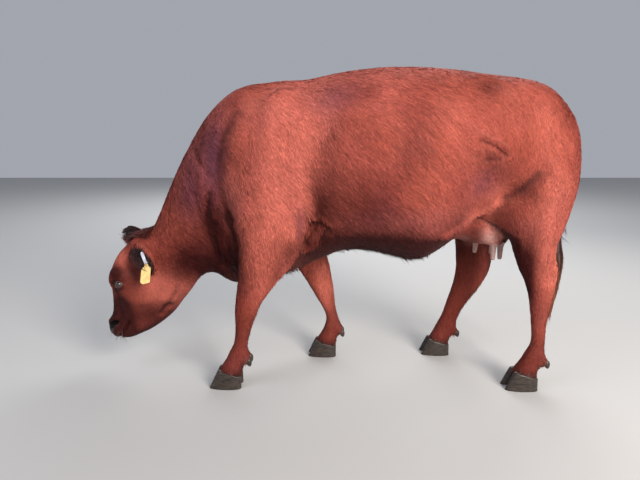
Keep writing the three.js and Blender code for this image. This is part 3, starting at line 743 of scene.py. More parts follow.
# Painted sheen: amount, centre and radii of the grey-violet reflection on the glossy hair.
PAINTED_SHEEN_MARKS = [
    [0.9, (-450, 180, 1030), (55, 130, 200)],  # before the shoulder
    [0.7, (-560, 100, 900), (60, 130, 170)],  # middle of the neck
    [0.5, (60, 200, 1240), (90, 130, 60)],  # behind the withers
    [0.5, (655, 330, 905), (80, 100, 60)],  # flank
    [0.6, (-85, 250, 760), (22, 90, 75)],  # over the elbow
    [0.35, (300, 380, 760), (260, 180, 70)],  # side of the belly
]
# The udder's skin shows pink through the thin hair round the teats.
PINK = np.array([0.62, 0.33, 0.29])
PINK_MARKS = [[1.0, (744, 120, 664), (34, 110, 44)], [0.35, (640, 110, 648), (26, 90, 22)]]
# Creases, darkened with painted shade: amount of shade, width and path in the side view, on both
# sides.
SHADED_CREASES = [
    [0.65, 6, [(622, 1080), (680, 1058), (735, 1024)]],  # the flank's upper fold
    [0.85, 9, UDDER_TOP],
    [0.3, 9, [(645, 1012), (708, 1010)]],  # its two lower folds
    [0.3, 9, [(648, 957), (700, 984)]],
    [0.6, 22, [(872, 950), (822, 895), (768, 852)]],  # from the thigh to the stifle
    [0.32, 14, [(-22, 745), (-44, 705), (-56, 655)]],  # the elbow's two folds
    [0.3, 9, [(20, 712), (4, 668)]],
    [0.5, 20, NECK_GROOVE],
    [0.5, 14, DEWLAP_FOLD],
    [0.38, 13, BRISKET_FOLD],
    [0.35, 9, JAW_GROOVE],
    [0.8, 6, MOUTH_LINE],
    [0.55, 5, [(47, 1106), (52, 1090)]],  # two nicks in the coat of the ribs
    [0.55, 6, [(92, 1034), (102, 1018)]],
]


def leg_offset(points, rows, side):
    """Each point's way from a leg's middle line, in the leg's half widths there, along x and y."""
    front, high, back, low, half, middle_y = np.array(rows)[::-1].T
    at_rows = (high + low) / 2
    values = ((front + back) / 2, (back - front) / 2, middle_y, half)
    x, deep, y, wide = (np.interp(points[:, 2], at_rows, value) for value in values)
    return (points[:, 0] - x) / deep, (points[:, 1] - side * y) / wide


def leg_share(points, top=640):
    """1 on the legs, fading to 0 round a top height and away from the legs."""
    share = np.zeros(len(points))
    for rows, side in LEGS.values():
        x, y = leg_offset(points, rows, side)
        share = np.maximum(share, smoothstep(np.hypot(x, y), 1.9, 1.35))
    return share * smoothstep(points[:, 2], top + 110, top - 40)


def neck_share(points):
    """1 on the neck, fading to 0 at the nape and in front of the shoulder."""
    ahead = -(points[:, 0] + 360) * 0.982 + (points[:, 2] - 900) * 0.191
    return smoothstep(ahead, -50, 130) * (1 - face_share(points)) * (1 - leg_share(points))


def bare_share(points):
    """1 on the hairless end of the muzzle."""
    off = (points - [-990, 0, 212]) / [56, 80, 62]
    return smoothstep(np.linalg.norm(off, axis=1), 1.08, 0.86)


def creased(points):
    """How deep in a crease each point is: the sum of the creases' amounts of painted shade, by
    distance.
    Points within 60 of the middle plane have none."""
    shares = [amount * beside(points, path, width) for amount, width, path in SHADED_CREASES]
    return np.sum(shares, axis=0) * (np.abs(points[:, 1]) > 60)


def marked(points, share, marks):
    """A share with the amount of each mark added to it, fading away from the mark's centre."""
    for amount, centre, radii in marks:
        share = share + amount * blob(points, centre, radii)
    return share


def coat_colour(points, normal):
    """Chestnut, mixed towards bright by soft patches and painted highlights, then towards a painted
    grey-violet sheen, and then towards dark by darker hair and painted shade in the marks, painted
    shade in the creases, the height on the legs, painted shade on the belly's underside and soft
    patches, and at last to pink round the teats and to bare skin on the muzzle."""
    bright = 0.16 + 0.22 * noise(points, 210, 11) + 0.12 * noise(points, 90, 12)
    bright = marked(points, bright, HIGHLIGHT_MARKS)
    dark = 0.08 + 0.1 * noise(points, 150, 13) + 0.08 * noise(points, 60, 14)
    dark = marked(points, dark, DARK_HAIR_AND_SHADE_MARKS) + creased(points)
    cool = marked(points, 0.08 + 0.12 * noise(points, 120, 15), PAINTED_SHEEN_MARKS)
    # Painted shade darkens the skin that faces down, except round the udder.
    under = smoothstep(normal[:, 2], -0.2, -0.9) * smoothstep(np.abs(points[:, 0] - 715), 90, 170)
    dark += 0.3 * smoothstep(points[:, 2], 420, 120) + 0.75 * under
    feet, tail_end = smoothstep(points[:, 2], 120, 70), smoothstep(points[:, 2], 1000, 700)
    dark += 0.35 * feet + 0.35 * tail_share(points) * tail_end
    bright, cool, dark = (np.clip(share, 0, 0.96)[:, None] for share in (bright, cool, dark))
    colour = CHESTNUT + (BRIGHT - CHESTNUT) * bright
    colour = colour + (PAINTED_SHEEN - colour) * cool
    colour = colour + (DARK - colour) * dark
    for amount, centre, radii in PINK_MARKS:
        colour = colour + (PINK - colour) * amount * blob(points, centre, radii)[:, None]
    return colour + (BARE - colour) * bare_share(points)[:, None]


def lie_of(points, normal):
    """Which way the hair lies: back and down over the trunk, steeper on thigh, neck and legs, and
    parted along the spine. On the face it runs to the muzzle in front and to the jaw behind."""
    x, y, z = points.T
    slope = 26 + 22 * smoothstep(z, 1350, 1120) + 12 * smoothstep(z, 900, 650)
    slope += 26 * smoothstep(x, 640, 980) + 12 * blob(points, (-200, 250, 1000), (260, 300, 330))
    neck, leg, tail = neck_share(points), leg_share(points, 720), tail_share(points)
    slope += (54 - slope) * neck
    slope += (84 - slope) * leg
    slope += (91 - slope) * tail
    slope = np.radians(slope + 9 * noise(points, 130, 21) + 6 * noise(points, 45, 22))
    part = 0.6 * np.tanh(y / 45) * smoothstep(normal[:, 2], 0.35, 0.95)
    way = np.stack([np.cos(slope), part, -np.sin(slope)], -1)
    rows = np.array(HEAD)[::-1]
    front, jaw = np.interp(z, rows[:, 1], rows[:, 0]), np.interp(z, rows[:, 3], rows[:, 2])
    back = smoothstep((x - front) / (jaw - front), 0.25, 0.9)
    outward_share = 0.25 * np.tanh(y / 40) * (1 - back)
    face_way = np.stack([-0.28 + 0.75 * back, outward_share, -0.96 + 0.1 * back], -1)
    face = face_share(points)[:, None]
    way = way + (face_way - way) * face
    return unit(way - np.sum(way * normal, -1, keepdims=True) * normal)


def streaks(points, way, along, across, seed):
    """Noise drawn out along the lie of the coat. Each of sixteen fixed ways in the side view has
    its own stretched noise, and a point mixes the two nearest to its own way."""
    place = np.arctan2(-way[:, 2], way[:, 0]) / (np.pi / 8)
    total = np.zeros(len(points))
    for k in range(16):
        weight = np.clip(1 - np.abs((place - k + 8) % 16 - 8), 0, 1)
        here = weight > 0
        if here.any():
            c, s = np.cos(k * np.pi / 8), np.sin(k * np.pi / 8)
            x, y, z = points[here].T
            turned = [(x * c - z * s) / along, y / across / 1.5, (x * s + z * c) / across]
            total[here] += weight[here] * noise(np.stack(turned, -1), 1, seed + k)
    return total


def paint(piece, name, colours):
    """Stores a colour for each point of a piece."""
    layer = piece.data.attributes.new(name, "FLOAT_COLOR", "POINT")
    opaque = np.hstack([colours, np.ones((len(colours), 1))])
    layer.data.foreach_set("color", opaque.astype(np.float32).ravel())


def shader(name, roughness, specular=0.5):
    """A material with its Principled node, its node tree and the links, ready to be wired."""
    material = bpy.data.materials.new(name)
    material.use_nodes = True
    principled = material.node_tree.nodes["Principled BSDF"]
    principled.inputs["Roughness"].default_value = roughness
    principled.inputs["Specular IOR Level"].default_value = specular
    return material, principled, material.node_tree.nodes, material.node_tree.links


def add_bump(nodes, links, principled, height, strength, distance, invert=False):
    """Roughens a surface by a node's height output, over a distance in metres, on top of any
    bump that it already has."""
    bump = nodes.new("ShaderNodeBump")
    bump.inputs["Strength"].default_value = strength
    bump.inputs["Distance"].default_value = distance
    bump.invert = invert
    for earlier in principled.inputs["Normal"].links:
        links.new(earlier.from_socket, bump.inputs["Normal"])
    links.new(height, bump.inputs["Height"])
    links.new(bump.outputs["Normal"], principled.inputs["Normal"])


def object_noise(nodes, links, scale, detail, stretch=(1, 1, 1), turn=(0, 0, 0)):
    """Noise on the piece's own coordinates, drawn out and turned."""
    place = nodes.new("ShaderNodeTexCoord")
    mapping = nodes.new("ShaderNodeMapping")
    mapping.inputs["Scale"].default_value = stretch
    mapping.inputs["Rotation"].default_value = turn
    texture = nodes.new("ShaderNodeTexNoise")
    texture.inputs["Scale"].default_value = scale
    texture.inputs["Detail"].default_value = detail
    links.new(place.outputs["Object"], mapping.inputs["Vector"])
    links.new(mapping.outputs["Vector"], texture.inputs["Vector"])
    return texture.outputs["Fac"]


def painted(nodes, links, principled, name, variation, low, high, tints=()):
    """The base colour: a stored colour times a factor from low to high by a node's output. The
    tints are inputs that take three times the stored colour, so that dark hair hardly shines."""
    layer = nodes.new("ShaderNodeAttribute")
    layer.attribute_name = name
    factor = nodes.new("ShaderNodeMapRange")
    factor.inputs["From Min"].default_value, factor.inputs["From Max"].default_value = 0.3, 0.7
    factor.inputs["To Min"].default_value, factor.inputs["To Max"].default_value = low, high
    links.new(variation, factor.inputs["Value"])
    scaled = nodes.new("ShaderNodeVectorMath")
    scaled.operation = "SCALE"
    links.new(layer.outputs["Color"], scaled.inputs[0])
    links.new(factor.outputs["Result"], scaled.inputs["Scale"])
    links.new(scaled.outputs["Vector"], principled.inputs["Base Color"])
    for tint in tints:
        stronger = nodes.new("ShaderNodeVectorMath")
        stronger.operation = "SCALE"
        stronger.inputs["Scale"].default_value = 3
        links.new(layer.outputs["Color"], stronger.inputs[0])
        links.new(stronger.outputs["Vector"], principled.inputs[tint])


def ramped(nodes, links, principled, source, low, high, start=0, end=1):
    """The base colour, going from low where a node's output is at start to high where it is at
    end."""
    ramp = nodes.new("ShaderNodeValToRGB")
    for stop, place, colour in zip(ramp.color_ramp.elements, (start, end), (low, high)):
        stop.position, stop.color = place, (*colour, 1)
    links.new(source, ramp.inputs["Fac"])
    links.new(ramp.outputs["Color"], principled.inputs["Base Color"])


def bending(points, edges, normal, ways):
    """How fast the surface falls away along the lie at each point: the mean over its edges of
    (change of normal . edge) / edge^2, weighted by cos^4 of the edge's angle to the lie."""
    total, weights = np.zeros(len(points)), np.full(len(points), 1e-6)
    step = points[edges[:, 1]] - points[edges[:, 0]]
    square = np.sum(step * step, -1)
    turned = np.sum((normal[edges[:, 1]] - normal[edges[:, 0]]) * step, -1) / square
    for end in edges.T:
        weight = (np.sum(step * ways[end], -1) ** 2 / square) ** 2
        total += np.bincount(end, weight * turned, len(points))
        weights += np.bincount(end, weight, len(points))
    return np.clip(total / weights, -0.035, 0.05)


normal = normals_of(points, triangles)
bare = np.maximum(bare_share(points), smoothstep(nostril, 0.06, 0.25))
# Painted shade darkens the skin inside the nostrils.
skin_colour = coat_colour(points, normal) * (1 - 0.92 * smoothstep(nostril, 0.08, 0.5))[:, None]
UNDER_HAIR = 0.8  # the skin's colour, as a share of the colour of the hair over it
paint(skin, "Coat", skin_colour * UNDER_HAIR)
paint(skin, "Bare", (bare * (1 - smoothstep(nostril, 0.03, 0.4)))[:, None] * [1, 1, 1])
HAIRED, WET = (0.65, 0.15), (0.3, 0.5)  # roughness and specular level
hide, principled, nodes, links = shader("hide", *HAIRED)
hairs = object_noise(nodes, links, 95, 4, (1, 1, 0.16), (0, np.radians(42), 0))
painted(nodes, links, principled, "Coat", hairs, 0.72, 1.2)
add_bump(nodes, links, principled, hairs, 0.55, 0.003)
naked = nodes.new("ShaderNodeAttribute")
naked.attribute_name = "Bare"
for socket, dry, wet in zip(("Roughness", "Specular IOR Level"), HAIRED, WET):
    by_share = nodes.new("ShaderNodeMapRange")
    by_share.inputs["To Min"].default_value, by_share.inputs["To Max"].default_value = dry, wet
    links.new(naked.outputs["Fac"], by_share.inputs["Value"])
    links.new(by_share.outputs["Result"], principled.inputs[socket])
place = nodes.new("ShaderNodeTexCoord")
pebbles = nodes.new("ShaderNodeTexVoronoi")
pebbles.inputs["Scale"].default_value = 240
links.new(place.outputs["Object"], pebbles.inputs["Vector"])
only_bare = nodes.new("ShaderNodeMath")
only_bare.operation = "MULTIPLY"
links.new(pebbles.outputs["Distance"], only_bare.inputs[0])
links.new(naked.outputs["Fac"], only_bare.inputs[1])
add_bump(nodes, links, principled, only_bare.outputs["Value"], 0.9, 0.0025, True)
mesh.materials.append(hide)

# ------------------------------------------------------------------------------ the eyes
# Each eye is a wet ball with a clear swelling over a dark brown iris and a wide, level pupil. Two
# lids close round it: dark hairless rims that roll over and run out into the face.


LID = np.array([0.062, 0.034, 0.031])  # the lids' hairless rims
IRIS, IRIS_RING = np.array([0.035, 0.014, 0.007]), np.array([0.012, 0.007, 0.006])
EYE_WHITE = np.array([0.085, 0.04, 0.034])
PUPIL = 0.34, 0.17  # half sizes, in radii of the ball
RING_FROM, WHITE_FROM = (0.62, 0.72), (0.74, 0.95)  # angles from the eye's axis
SWELLING = 1.3


def eyeball(side):
    """A ball about its outward axis: a radius 0.2 under the eye's own, plus a swelling over the
    front half radian. The colour goes from pupil to iris, a dark ring and the reddish white."""
    way, along, up, centre = eye_frame(side)
    open_by = np.linspace(0.01, np.pi - 0.01, 60)[:, None]
    turn = np.linspace(0, 2 * np.pi, 64, endpoint=False)[None]
    radius = EYE_RADIUS - 0.2 + SWELLING * np.exp(-((open_by / 0.5) ** 2)) + 0 * turn
    across = np.sin(open_by)
    x, y, z = across * np.cos(turn), across * np.sin(turn), np.cos(open_by) + 0 * turn
    outward_way = x[..., None] * along + y[..., None] * up + z[..., None] * way
    rings = centre + radius[..., None] * outward_way
    in_pupil = np.hypot(x / PUPIL[0], y / PUPIL[1]) < 1
    rays = IRIS * (1 + 0.35 * np.sin(turn * 40))[..., None]
    colour = np.where(in_pupil[..., None], 0.004, rays)
    ring = smoothstep(open_by, *RING_FROM)[..., None]
    colour = colour * (1 - ring) + ring * IRIS_RING
    white = smoothstep(open_by, *WHITE_FROM)[..., None]
    colour = colour * (1 - white) + white * EYE_WHITE
    points, faces = closed_tube(rings)
    return points, faces, np.vstack([colour.reshape(-1, 3), colour[0].mean(0), colour[-1].mean(0)])


# Share of the way out, rise, and how far the height is the face's own.
LID_STEPS = [
    [0, -2.8, 0], [0.01, 0.2, 0], [0.05, 1.9, 0], [0.12, 2.5, 0], [0.2, 2.2, 0.02], [0.3, 1.4, 0.1],
    [0.38, 0.2, 0.25], [0.46, 1.8, 0.45], [0.58, 2.4, 0.7], [0.72, 1.3, 0.9], [0.86, 0.3, 1],
    [1, -2.2, 1],
]
OPENING_HALF, OPENING_UP, OPENING_DOWN = 20, 11.4, 9.6
LID_SPHERE, LID_BLEND = 21.6, 3.5  # radius of the lids' own sphere, and reach of the mean


def lids(side, points, colours):
    """A ring of surface round the eye. Its inner edge is an almond on a sphere just over the
    eyeball. From there it rolls out over a rim and a fold to the lids' reach, where it sinks
    under the skin, whose own height is the mean of the near points, weighted by exp(-d^2)."""
    way, along, up, centre = eye_frame(side)
    turn = np.linspace(0, 2 * np.pi, 80, endpoint=False)
    cosine, sine = np.cos(turn), np.sin(turn)
    tall = np.where(sine > 0, OPENING_UP, OPENING_DOWN)
    almond = np.stack([OPENING_HALF * cosine, tall * signed_power(sine, 1.15)], -1)
    outer = LID_REACH * np.stack([cosine, sine], -1)
    near = around_eye(points, side)[1] < 1.5
    off = points[near] - centre
    rows, tints = [], []
    for share, rise, of_face in LID_STEPS:
        flat = almond + (outer - almond) * share
        gap = np.linalg.norm(flat[:, None] - np.stack([off @ along, off @ up], -1), axis=-1)
        weight = np.exp(-((gap / LID_BLEND) ** 2)) + 1e-12
        weight /= weight.sum(1, keepdims=True)
        sphere = np.sqrt(np.maximum(LID_SPHERE**2 - np.sum(flat**2, -1), 20))
        rise = rise * (0.8 + 0.45 * sine if share > 0.15 else 1)
        lift = sphere + (weight @ (off @ way) - sphere) * of_face + rise
        rows.append(centre + flat[:, :1] * along + flat[:, 1:] * up + lift[:, None] * way)
        hair = smoothstep(share, 0.12, 0.6)
        tints.append(LID * (1 - hair) + weight @ colours[near] * hair)
    return np.stack(rows), np.vstack(tints)


wet, principled, nodes, links = shader("eye", 0.06)
principled.inputs["Coat Weight"].default_value = 1
principled.inputs["Coat Roughness"].default_value = 0.03
painted(nodes, links, principled, "Eye", object_noise(nodes, links, 900, 2), 0.85, 1.15)
lid_skin, principled, nodes, links = shader("lid", 0.38, 0.5)
wrinkles = object_noise(nodes, links, 420, 4)
painted(nodes, links, principled, "Coat", wrinkles, 0.75, 1.2)
add_bump(nodes, links, principled, wrinkles, 0.5, 0.0012)
lid_grids = {}
for name, side in SIDES.items():
    own, faces, colours = eyeball(side)
    piece = mesh_object("eyeball_" + name, own, faces)
    paint(piece, "Eye", colours)
    piece.data.materials.append(wet)
    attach(piece, "root")
    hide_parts("eye_" + name)
    rows, colours = lids(side, unpressed, skin_colour)
    faces = grid_faces(*rows.shape[:2])
    if side < 0:
        faces = faces[:, ::-1]
    lid_grids[name] = rows
    piece = mesh_object("eyelids_" + name, rows.reshape(-1, 3), [faces])
    paint(piece, "Coat", colours)
    piece.data.materials.append(lid_skin)
    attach(piece, "root")

# ------------------------------------------------------------------------------ hooves and teats
# Each foot has two claws and two dewclaws of dark horn, grown in rings that follow the coronet.
# The four teats are pinkish bare skin, wrinkled round, and merge into the udder.


CLAW_TOE, CLAW_HEEL = 52, 50  # the coronet's reach to front and back from the foot's middle
CLAW_GROWTH = 40  # how much further forward the sole reaches
CLAW_TOP, CLAW_SLOPE = 68, 14  # the coronet's height in the middle, and its rise to the front
CLAW_WIDTH, CLAW_SPREAD, CLEFT_HALF = 49, 6, 3.5
DEWCLAW = (15, 12.5, 20)  # half sizes


def claw(foot_x, foot_y, away):
    """One claw. Rings go down from the coronet at d = 0 to the sole at d = 1, with the toe
    growing forward and each growth ring standing 0.5 proud. The outline at turn a is sin(a)^0.8
    across and cos(a)^0.9 along, narrowed to the toe."""
    d = np.concatenate([[0, 0.02], np.linspace(0.05, 0.95, 22), [0.985, 1]])[:, None]
    turn = np.linspace(0, 2 * np.pi, 56, endpoint=False)[None]
    side, forward = np.sin(turn), np.cos(turn)
    ends = np.where((d == 0) | (d == 1), 0.9, np.where(d == 0.02, 0.97, 1))
    size = ends * (1 - 0.012 * (0.5 + 0.5 * np.cos(d * 2 * np.pi * 7.5)) * (d < 0.9))
    half = (CLAW_WIDTH + CLAW_SPREAD * d - CLEFT_HALF) / 2
    narrowing = 1 - 0.3 * d * np.maximum(0, forward) ** 3
    reach = np.where(forward > 0, CLAW_TOE + CLAW_GROWTH * d**0.9, CLAW_HEEL)
    x = foot_x - signed_power(forward, 0.9) * reach * size
    top_x = foot_x - signed_power(forward, 0.9) * np.where(forward > 0, CLAW_TOE, CLAW_HEEL)
    top = CLAW_TOP - (top_x - foot_x) * CLAW_SLOPE / CLAW_TOE
    outline = signed_power(side * away, 0.8) * half * narrowing * size
    y = foot_y + away * (CLEFT_HALF + half + outline)
    return closed_tube(np.stack(np.broadcast_arrays(x, y, top * (1 - d)), -1))


def dewclaw(x, y, z):
    """A blunt horn: an ellipsoid whose width shrinks downward, ringed four times."""
    own, faces = ball((0, 0, 0), DEWCLAW)
    down = 0.5 - own[:, 2] / 2 / DEWCLAW[2]
    width = (1.12 - 0.42 * down) * (1 + 0.025 * np.cos(down * 2 * np.pi * 4))
    own[:, :2] *= width[:, None]
    own[:, 0] += 7 * down**2
    return own + [x, y, z], faces


horn, principled, nodes, links = shader("horn", 0.42, 0.45)
grain = object_noise(nodes, links, 60, 5, (1, 1, 3.5))
ramped(nodes, links, principled, grain, (0.012, 0.009, 0.008), (0.062, 0.044, 0.033), 0.32, 0.72)
add_bump(nodes, links, principled, grain, 0.45, 0.0015)
for foot, (rows, side) in LEGS.items():
    end, name = foot.split("leg_")
    coronet, fetlock = rows[-1], rows[-3]
    for which, away in (("inner", -side), ("outer", side)):
        node = f"{end}_{name}_{which}"
        foot_x, foot_y = (coronet[0] + coronet[2]) / 2, side * coronet[5]
        pieces = {"hoof": claw(foot_x, foot_y, away)}
        pieces["dewclaw"] = dewclaw(fetlock[2] - 1, foot_y + away * 26, fetlock[3] - 27)
        for kind, shell in pieces.items():
            piece = mesh_object(f"{kind}_horn_{node}", *shell)
            piece.data.materials.append(horn)
            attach(piece, "root")
            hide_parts(f"{kind}_{node}")


TEAT_RADIUS, TEAT_FLARE = 11.2, 8
TEAT_TOP, TEAT_LENGTH = 48, 84  # how far it starts over its middle, and its length


def teat(x, y, z):
    """A round stem with a flared top and a round end. Its radius has a flare added that fades
    over the top third, and follows a quarter circle at the end, with a small dimple at the tip."""
    share = np.linspace(0, 1, 34)[:, None]
    turn = np.linspace(0, 2 * np.pi, 36, endpoint=False)[None]
    end = np.clip((share - 0.84) / 0.16, 0, 1)
    flare = TEAT_FLARE * np.exp(-((share / 0.2) ** 2))
    radius = (TEAT_RADIUS + 1.2 * np.sin(share * 5) + flare) * np.sqrt(1.02 - end**2)
    radius = radius * (1 + 0.018 * np.sin(share * 90 + 2 * np.cos(turn)))
    height = z + TEAT_TOP - TEAT_LENGTH * share + 2.5 * np.maximum(0, end - 0.8) * 5
    lean = np.sign(y) * 5 * share**2
    ring = [x - 3 * share + radius * np.cos(turn), y + lean + radius * np.sin(turn), height]
    return closed_tube(np.stack(np.broadcast_arrays(*ring), -1))


soft_skin, principled, nodes, links = shader("teat_skin", 0.5, 0.4)
principled.inputs["Subsurface Weight"].default_value = 0.15
principled.inputs["Subsurface Radius"].default_value = (0.004, 0.0015, 0.001)
wrinkles = object_noise(nodes, links, 130, 5, (1, 1, 2.5))
ramped(nodes, links, principled, wrinkles, (0.28, 0.14, 0.12), (0.66, 0.42, 0.38))
add_bump(nodes, links, principled, wrinkles, 0.6, 0.0015)
for name, place in TEATS.items():
    piece = mesh_object("teat_soft_" + name, *teat(*place))
    piece.data.materials.append(soft_skin)
    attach(piece, "root")
    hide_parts("teat_" + name)

# ------------------------------------------------------------------------------ the ears
# Each ear is a leaf of gristle and skin, cupped along its middle and rooted below the poll. The
# back is red like the coat, the cup is dark, and the rim is red behind with a painted highlight and
# darkened by painted shade to nearly black in front.

EAR_LENGTH, EAR_WIDTH, EAR_WALL = 178, 118, 4


def ear_point(pose, share, across, through):
    """A place on an ear: share along it, a distance across it and one through it. The leaf is
    bent round a curve whose radius grows from 40 to 75, and opens the way that it faces."""
    along = unit(np.array(pose["along"], float))
    facing = np.array(pose["facing"], float)
    facing = unit(facing - along * (facing @ along))
    wide = np.cross(along, facing)
    curve = 40 + 35 * share
    angle = across / curve
    place = np.array(pose["root"], float) + (share * EAR_LENGTH)[..., None] * along
    place = place + ((curve - through) * np.sin(angle))[..., None] * wide
    return place + (curve - (curve - through) * np.cos(angle))[..., None] * facing


def ear_half(share):
    """An ear's half width: it opens to full width at 0.42 and closes in a round tip."""
    opening = 0.12 + 0.88 * np.sin(np.pi / 2 * np.minimum(1, share / 0.42)) ** 0.8
    return EAR_WIDTH / 2 * opening * np.sqrt(1 - np.maximum(0, (share - 0.42) / 0.58) ** 2.2)


def ear_grid(pose):
    """A grid over the whole ear, with how far in the cup each point is, its distance across as a
    share of the half width, and its share along."""
    share = np.linspace(0, 0.997, 44)[:, None]
    turn = np.linspace(0, 2 * np.pi, 52, endpoint=False)[None]
    half = ear_half(share)
    wall = np.minimum(EAR_WALL, 0.3 * half)
    across = signed_power(np.cos(turn), 0.8) * half * 0.985
    through = signed_power(np.sin(turn), 0.6) * wall
    ridge = 1.2 * np.cos(across / half * 9) * (np.sin(turn) > 0) * np.sin(np.pi * share)
    grid = ear_point(pose, share + 0 * turn, across, through + ridge)
    return grid, smoothstep(np.sin(turn), -0.1, 0.3) + 0 * share, across / half, share + 0 * turn


EAR_BACK = np.array([0.15, 0.026, 0.016])
EAR_RIM_AND_HIGHLIGHT = np.array([0.38, 0.078, 0.05])
EAR_FRONT_RIM_SHADE = np.array([0.06, 0.017, 0.017])
EAR_CUP = np.array([0.02, 0.0085, 0.0075])
EAR_PAINTED_SHADE = {"left": 1, "right": 0.45}  # painted shade: the right ear's rim is darker, as that ear lies in shadow


def rim_colour(across):
    """The rim's colour: red with a painted highlight, darkened by painted shade to nearly as dark as
    the cup on the front edge, at across = 1.
    """
    return EAR_RIM_AND_HIGHLIGHT + (EAR_FRONT_RIM_SHADE - EAR_RIM_AND_HIGHLIGHT) * smoothstep(across, -0.1, 0.75)[..., None]


gristle, principled, nodes, links = shader("ear_hide", 0.6, 0.3)
down = object_noise(nodes, links, 170, 4)
painted(nodes, links, principled, "Coat", down, 0.75, 1.2)
add_bump(nodes, links, principled, down, 0.5, 0.002)
ear_surfaces = {}
for name, pose in EARS.items():
    grid, cup, rim, share = ear_grid(pose)
    own, faces = closed_tube(grid)
    edge = smoothstep(np.abs(rim), 0.62, 0.9)[..., None]
    colour = EAR_BACK + (EAR_CUP - EAR_BACK) * cup[..., None]
    darker_tip = (1 - 0.65 * smoothstep(share, 0.55, 0.95))[..., None]
    rim_tone = rim_colour(rim) * EAR_PAINTED_SHADE[name] * darker_tip
    colour = colour + (rim_tone - colour) * edge * 0.9
    colour = np.vstack([colour.reshape(-1, 3), colour[0].mean(0), colour[-1].mean(0)])
    ear_surfaces[name] = (grid, colour)
    piece = mesh_object("ear_leaf_" + name, own, faces)
    paint(piece, "Coat", colour * 0.85)
    piece.data.materials.append(gristle)
    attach(piece, "root")
    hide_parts("ear_" + name)

# ------------------------------------------------------------------------------ the tag in the ear
# A two-part plastic tag: a yellow plate hangs in front of the ear from a white strip, held by a
# pin through the leaf. Both are moulded, with rounded edges, and left plain.


def rounded_copy(node, name, round_by):
    """A node's own shape as a new piece, its points merged and its edges rounded."""
    own = bmesh.new()
    own.from_mesh(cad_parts[node].data)
    bmesh.ops.remove_doubles(own, verts=own.verts, dist=1e-5)
    bmesh.ops.dissolve_limit(own, angle_limit=0.02, verts=own.verts, edges=own.edges)
    mesh = bpy.data.meshes.new(name)
    own.to_mesh(mesh)
    own.free()
    piece = bpy.data.objects.new(name, mesh)
    bpy.context.scene.collection.objects.link(piece)
    bevel = piece.modifiers.new("rounded", "BEVEL")
    bevel.width, bevel.segments, bevel.limit_method = round_by, 3, "ANGLE"
    return piece


def plastic(name, colour, worn):
    """Moulded plastic: faintly blotched colour, soft gloss and a fine pebbled surface."""
    material, principled, nodes, links = shader(name, 0.34)
    ramped(nodes, links, principled, object_noise(nodes, links, 45, 4), worn, colour, 0.25, 0.6)
    add_bump(nodes, links, principled, object_noise(nodes, links, 900, 2), 0.12, 0.0004)
    return material


yellow = plastic("yellow_plastic", (0.88, 0.62, 0.22), (0.66, 0.42, 0.13))
white = plastic("white_plastic", (0.68, 0.7, 0.8), (0.5, 0.5, 0.58))
for node, material, round_by, slot in (
    ("tag_yellow", yellow, 0.0009, "tag_yellow"),
    ("tag_white", white, 0.0008, "tag_white"),
    ("tag_pin", white, 0.0008, "tag_white"),
):
    piece = rounded_copy(node, node + "_moulded", round_by)
    piece.data.materials.append(material)
    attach(piece, "root")
    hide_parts(node)

# ------------------------------------------------------------------------------ the coat
# Short hair lies over the skin in tufts, root to tip down its lie: 26 long on the body, 12 on the
# feet and 9 on the face. Each tuft is a thin pointed leaf, rooted just in the skin.

QUICK = 1  # the share of all tufts that is made
TUFT_PATCH = 0.003  # the size of one tuft's patch in OFBake
BODY_TUFTS, FINE_TUFTS = 56000, 160000  # to the square metre
HAIR_LENGTH, FINE_SHORTER = 26, 17  # on the body, and by how much it is shorter on the face
TUFT_WIDTH, FINE_NARROWER = 3.8, 2.1
# Degrees by which tufts swirl in the skin, lift off it and roll about their own length: in patches
# and, last, each tuft on its own.
SWIRLS, LIFTS, ROLL = (9, 5), (4, 2.5), 16
LIFT, LEAST_LIFT = 7.5, 2.5


def scattered(points, triangles, density, seed):
    """Random roots on a surface. A triangle gets its area in square metres times the density of
    roots, rounded up or down by chance. Gives each root's triangle and its corner weights."""
    a, b, c = (points[triangles[:, k]] for k in range(3))
    area = np.linalg.norm(np.cross(b - a, c - a), axis=1) / 2e6
    chance = np.random.default_rng(seed)
    wanted = area * density[triangles].mean(1) * QUICK
    which = np.repeat(np.arange(len(area)), np.floor(wanted + chance.random(len(area))).astype(int))
    u, v = chance.random(len(which)), chance.random(len(which))
    u, v = np.where(u + v > 1, 1 - u, u), np.where(u + v > 1, 1 - v, v)
    return triangles[which], np.stack([1 - u - v, u, v], -1)[..., None]


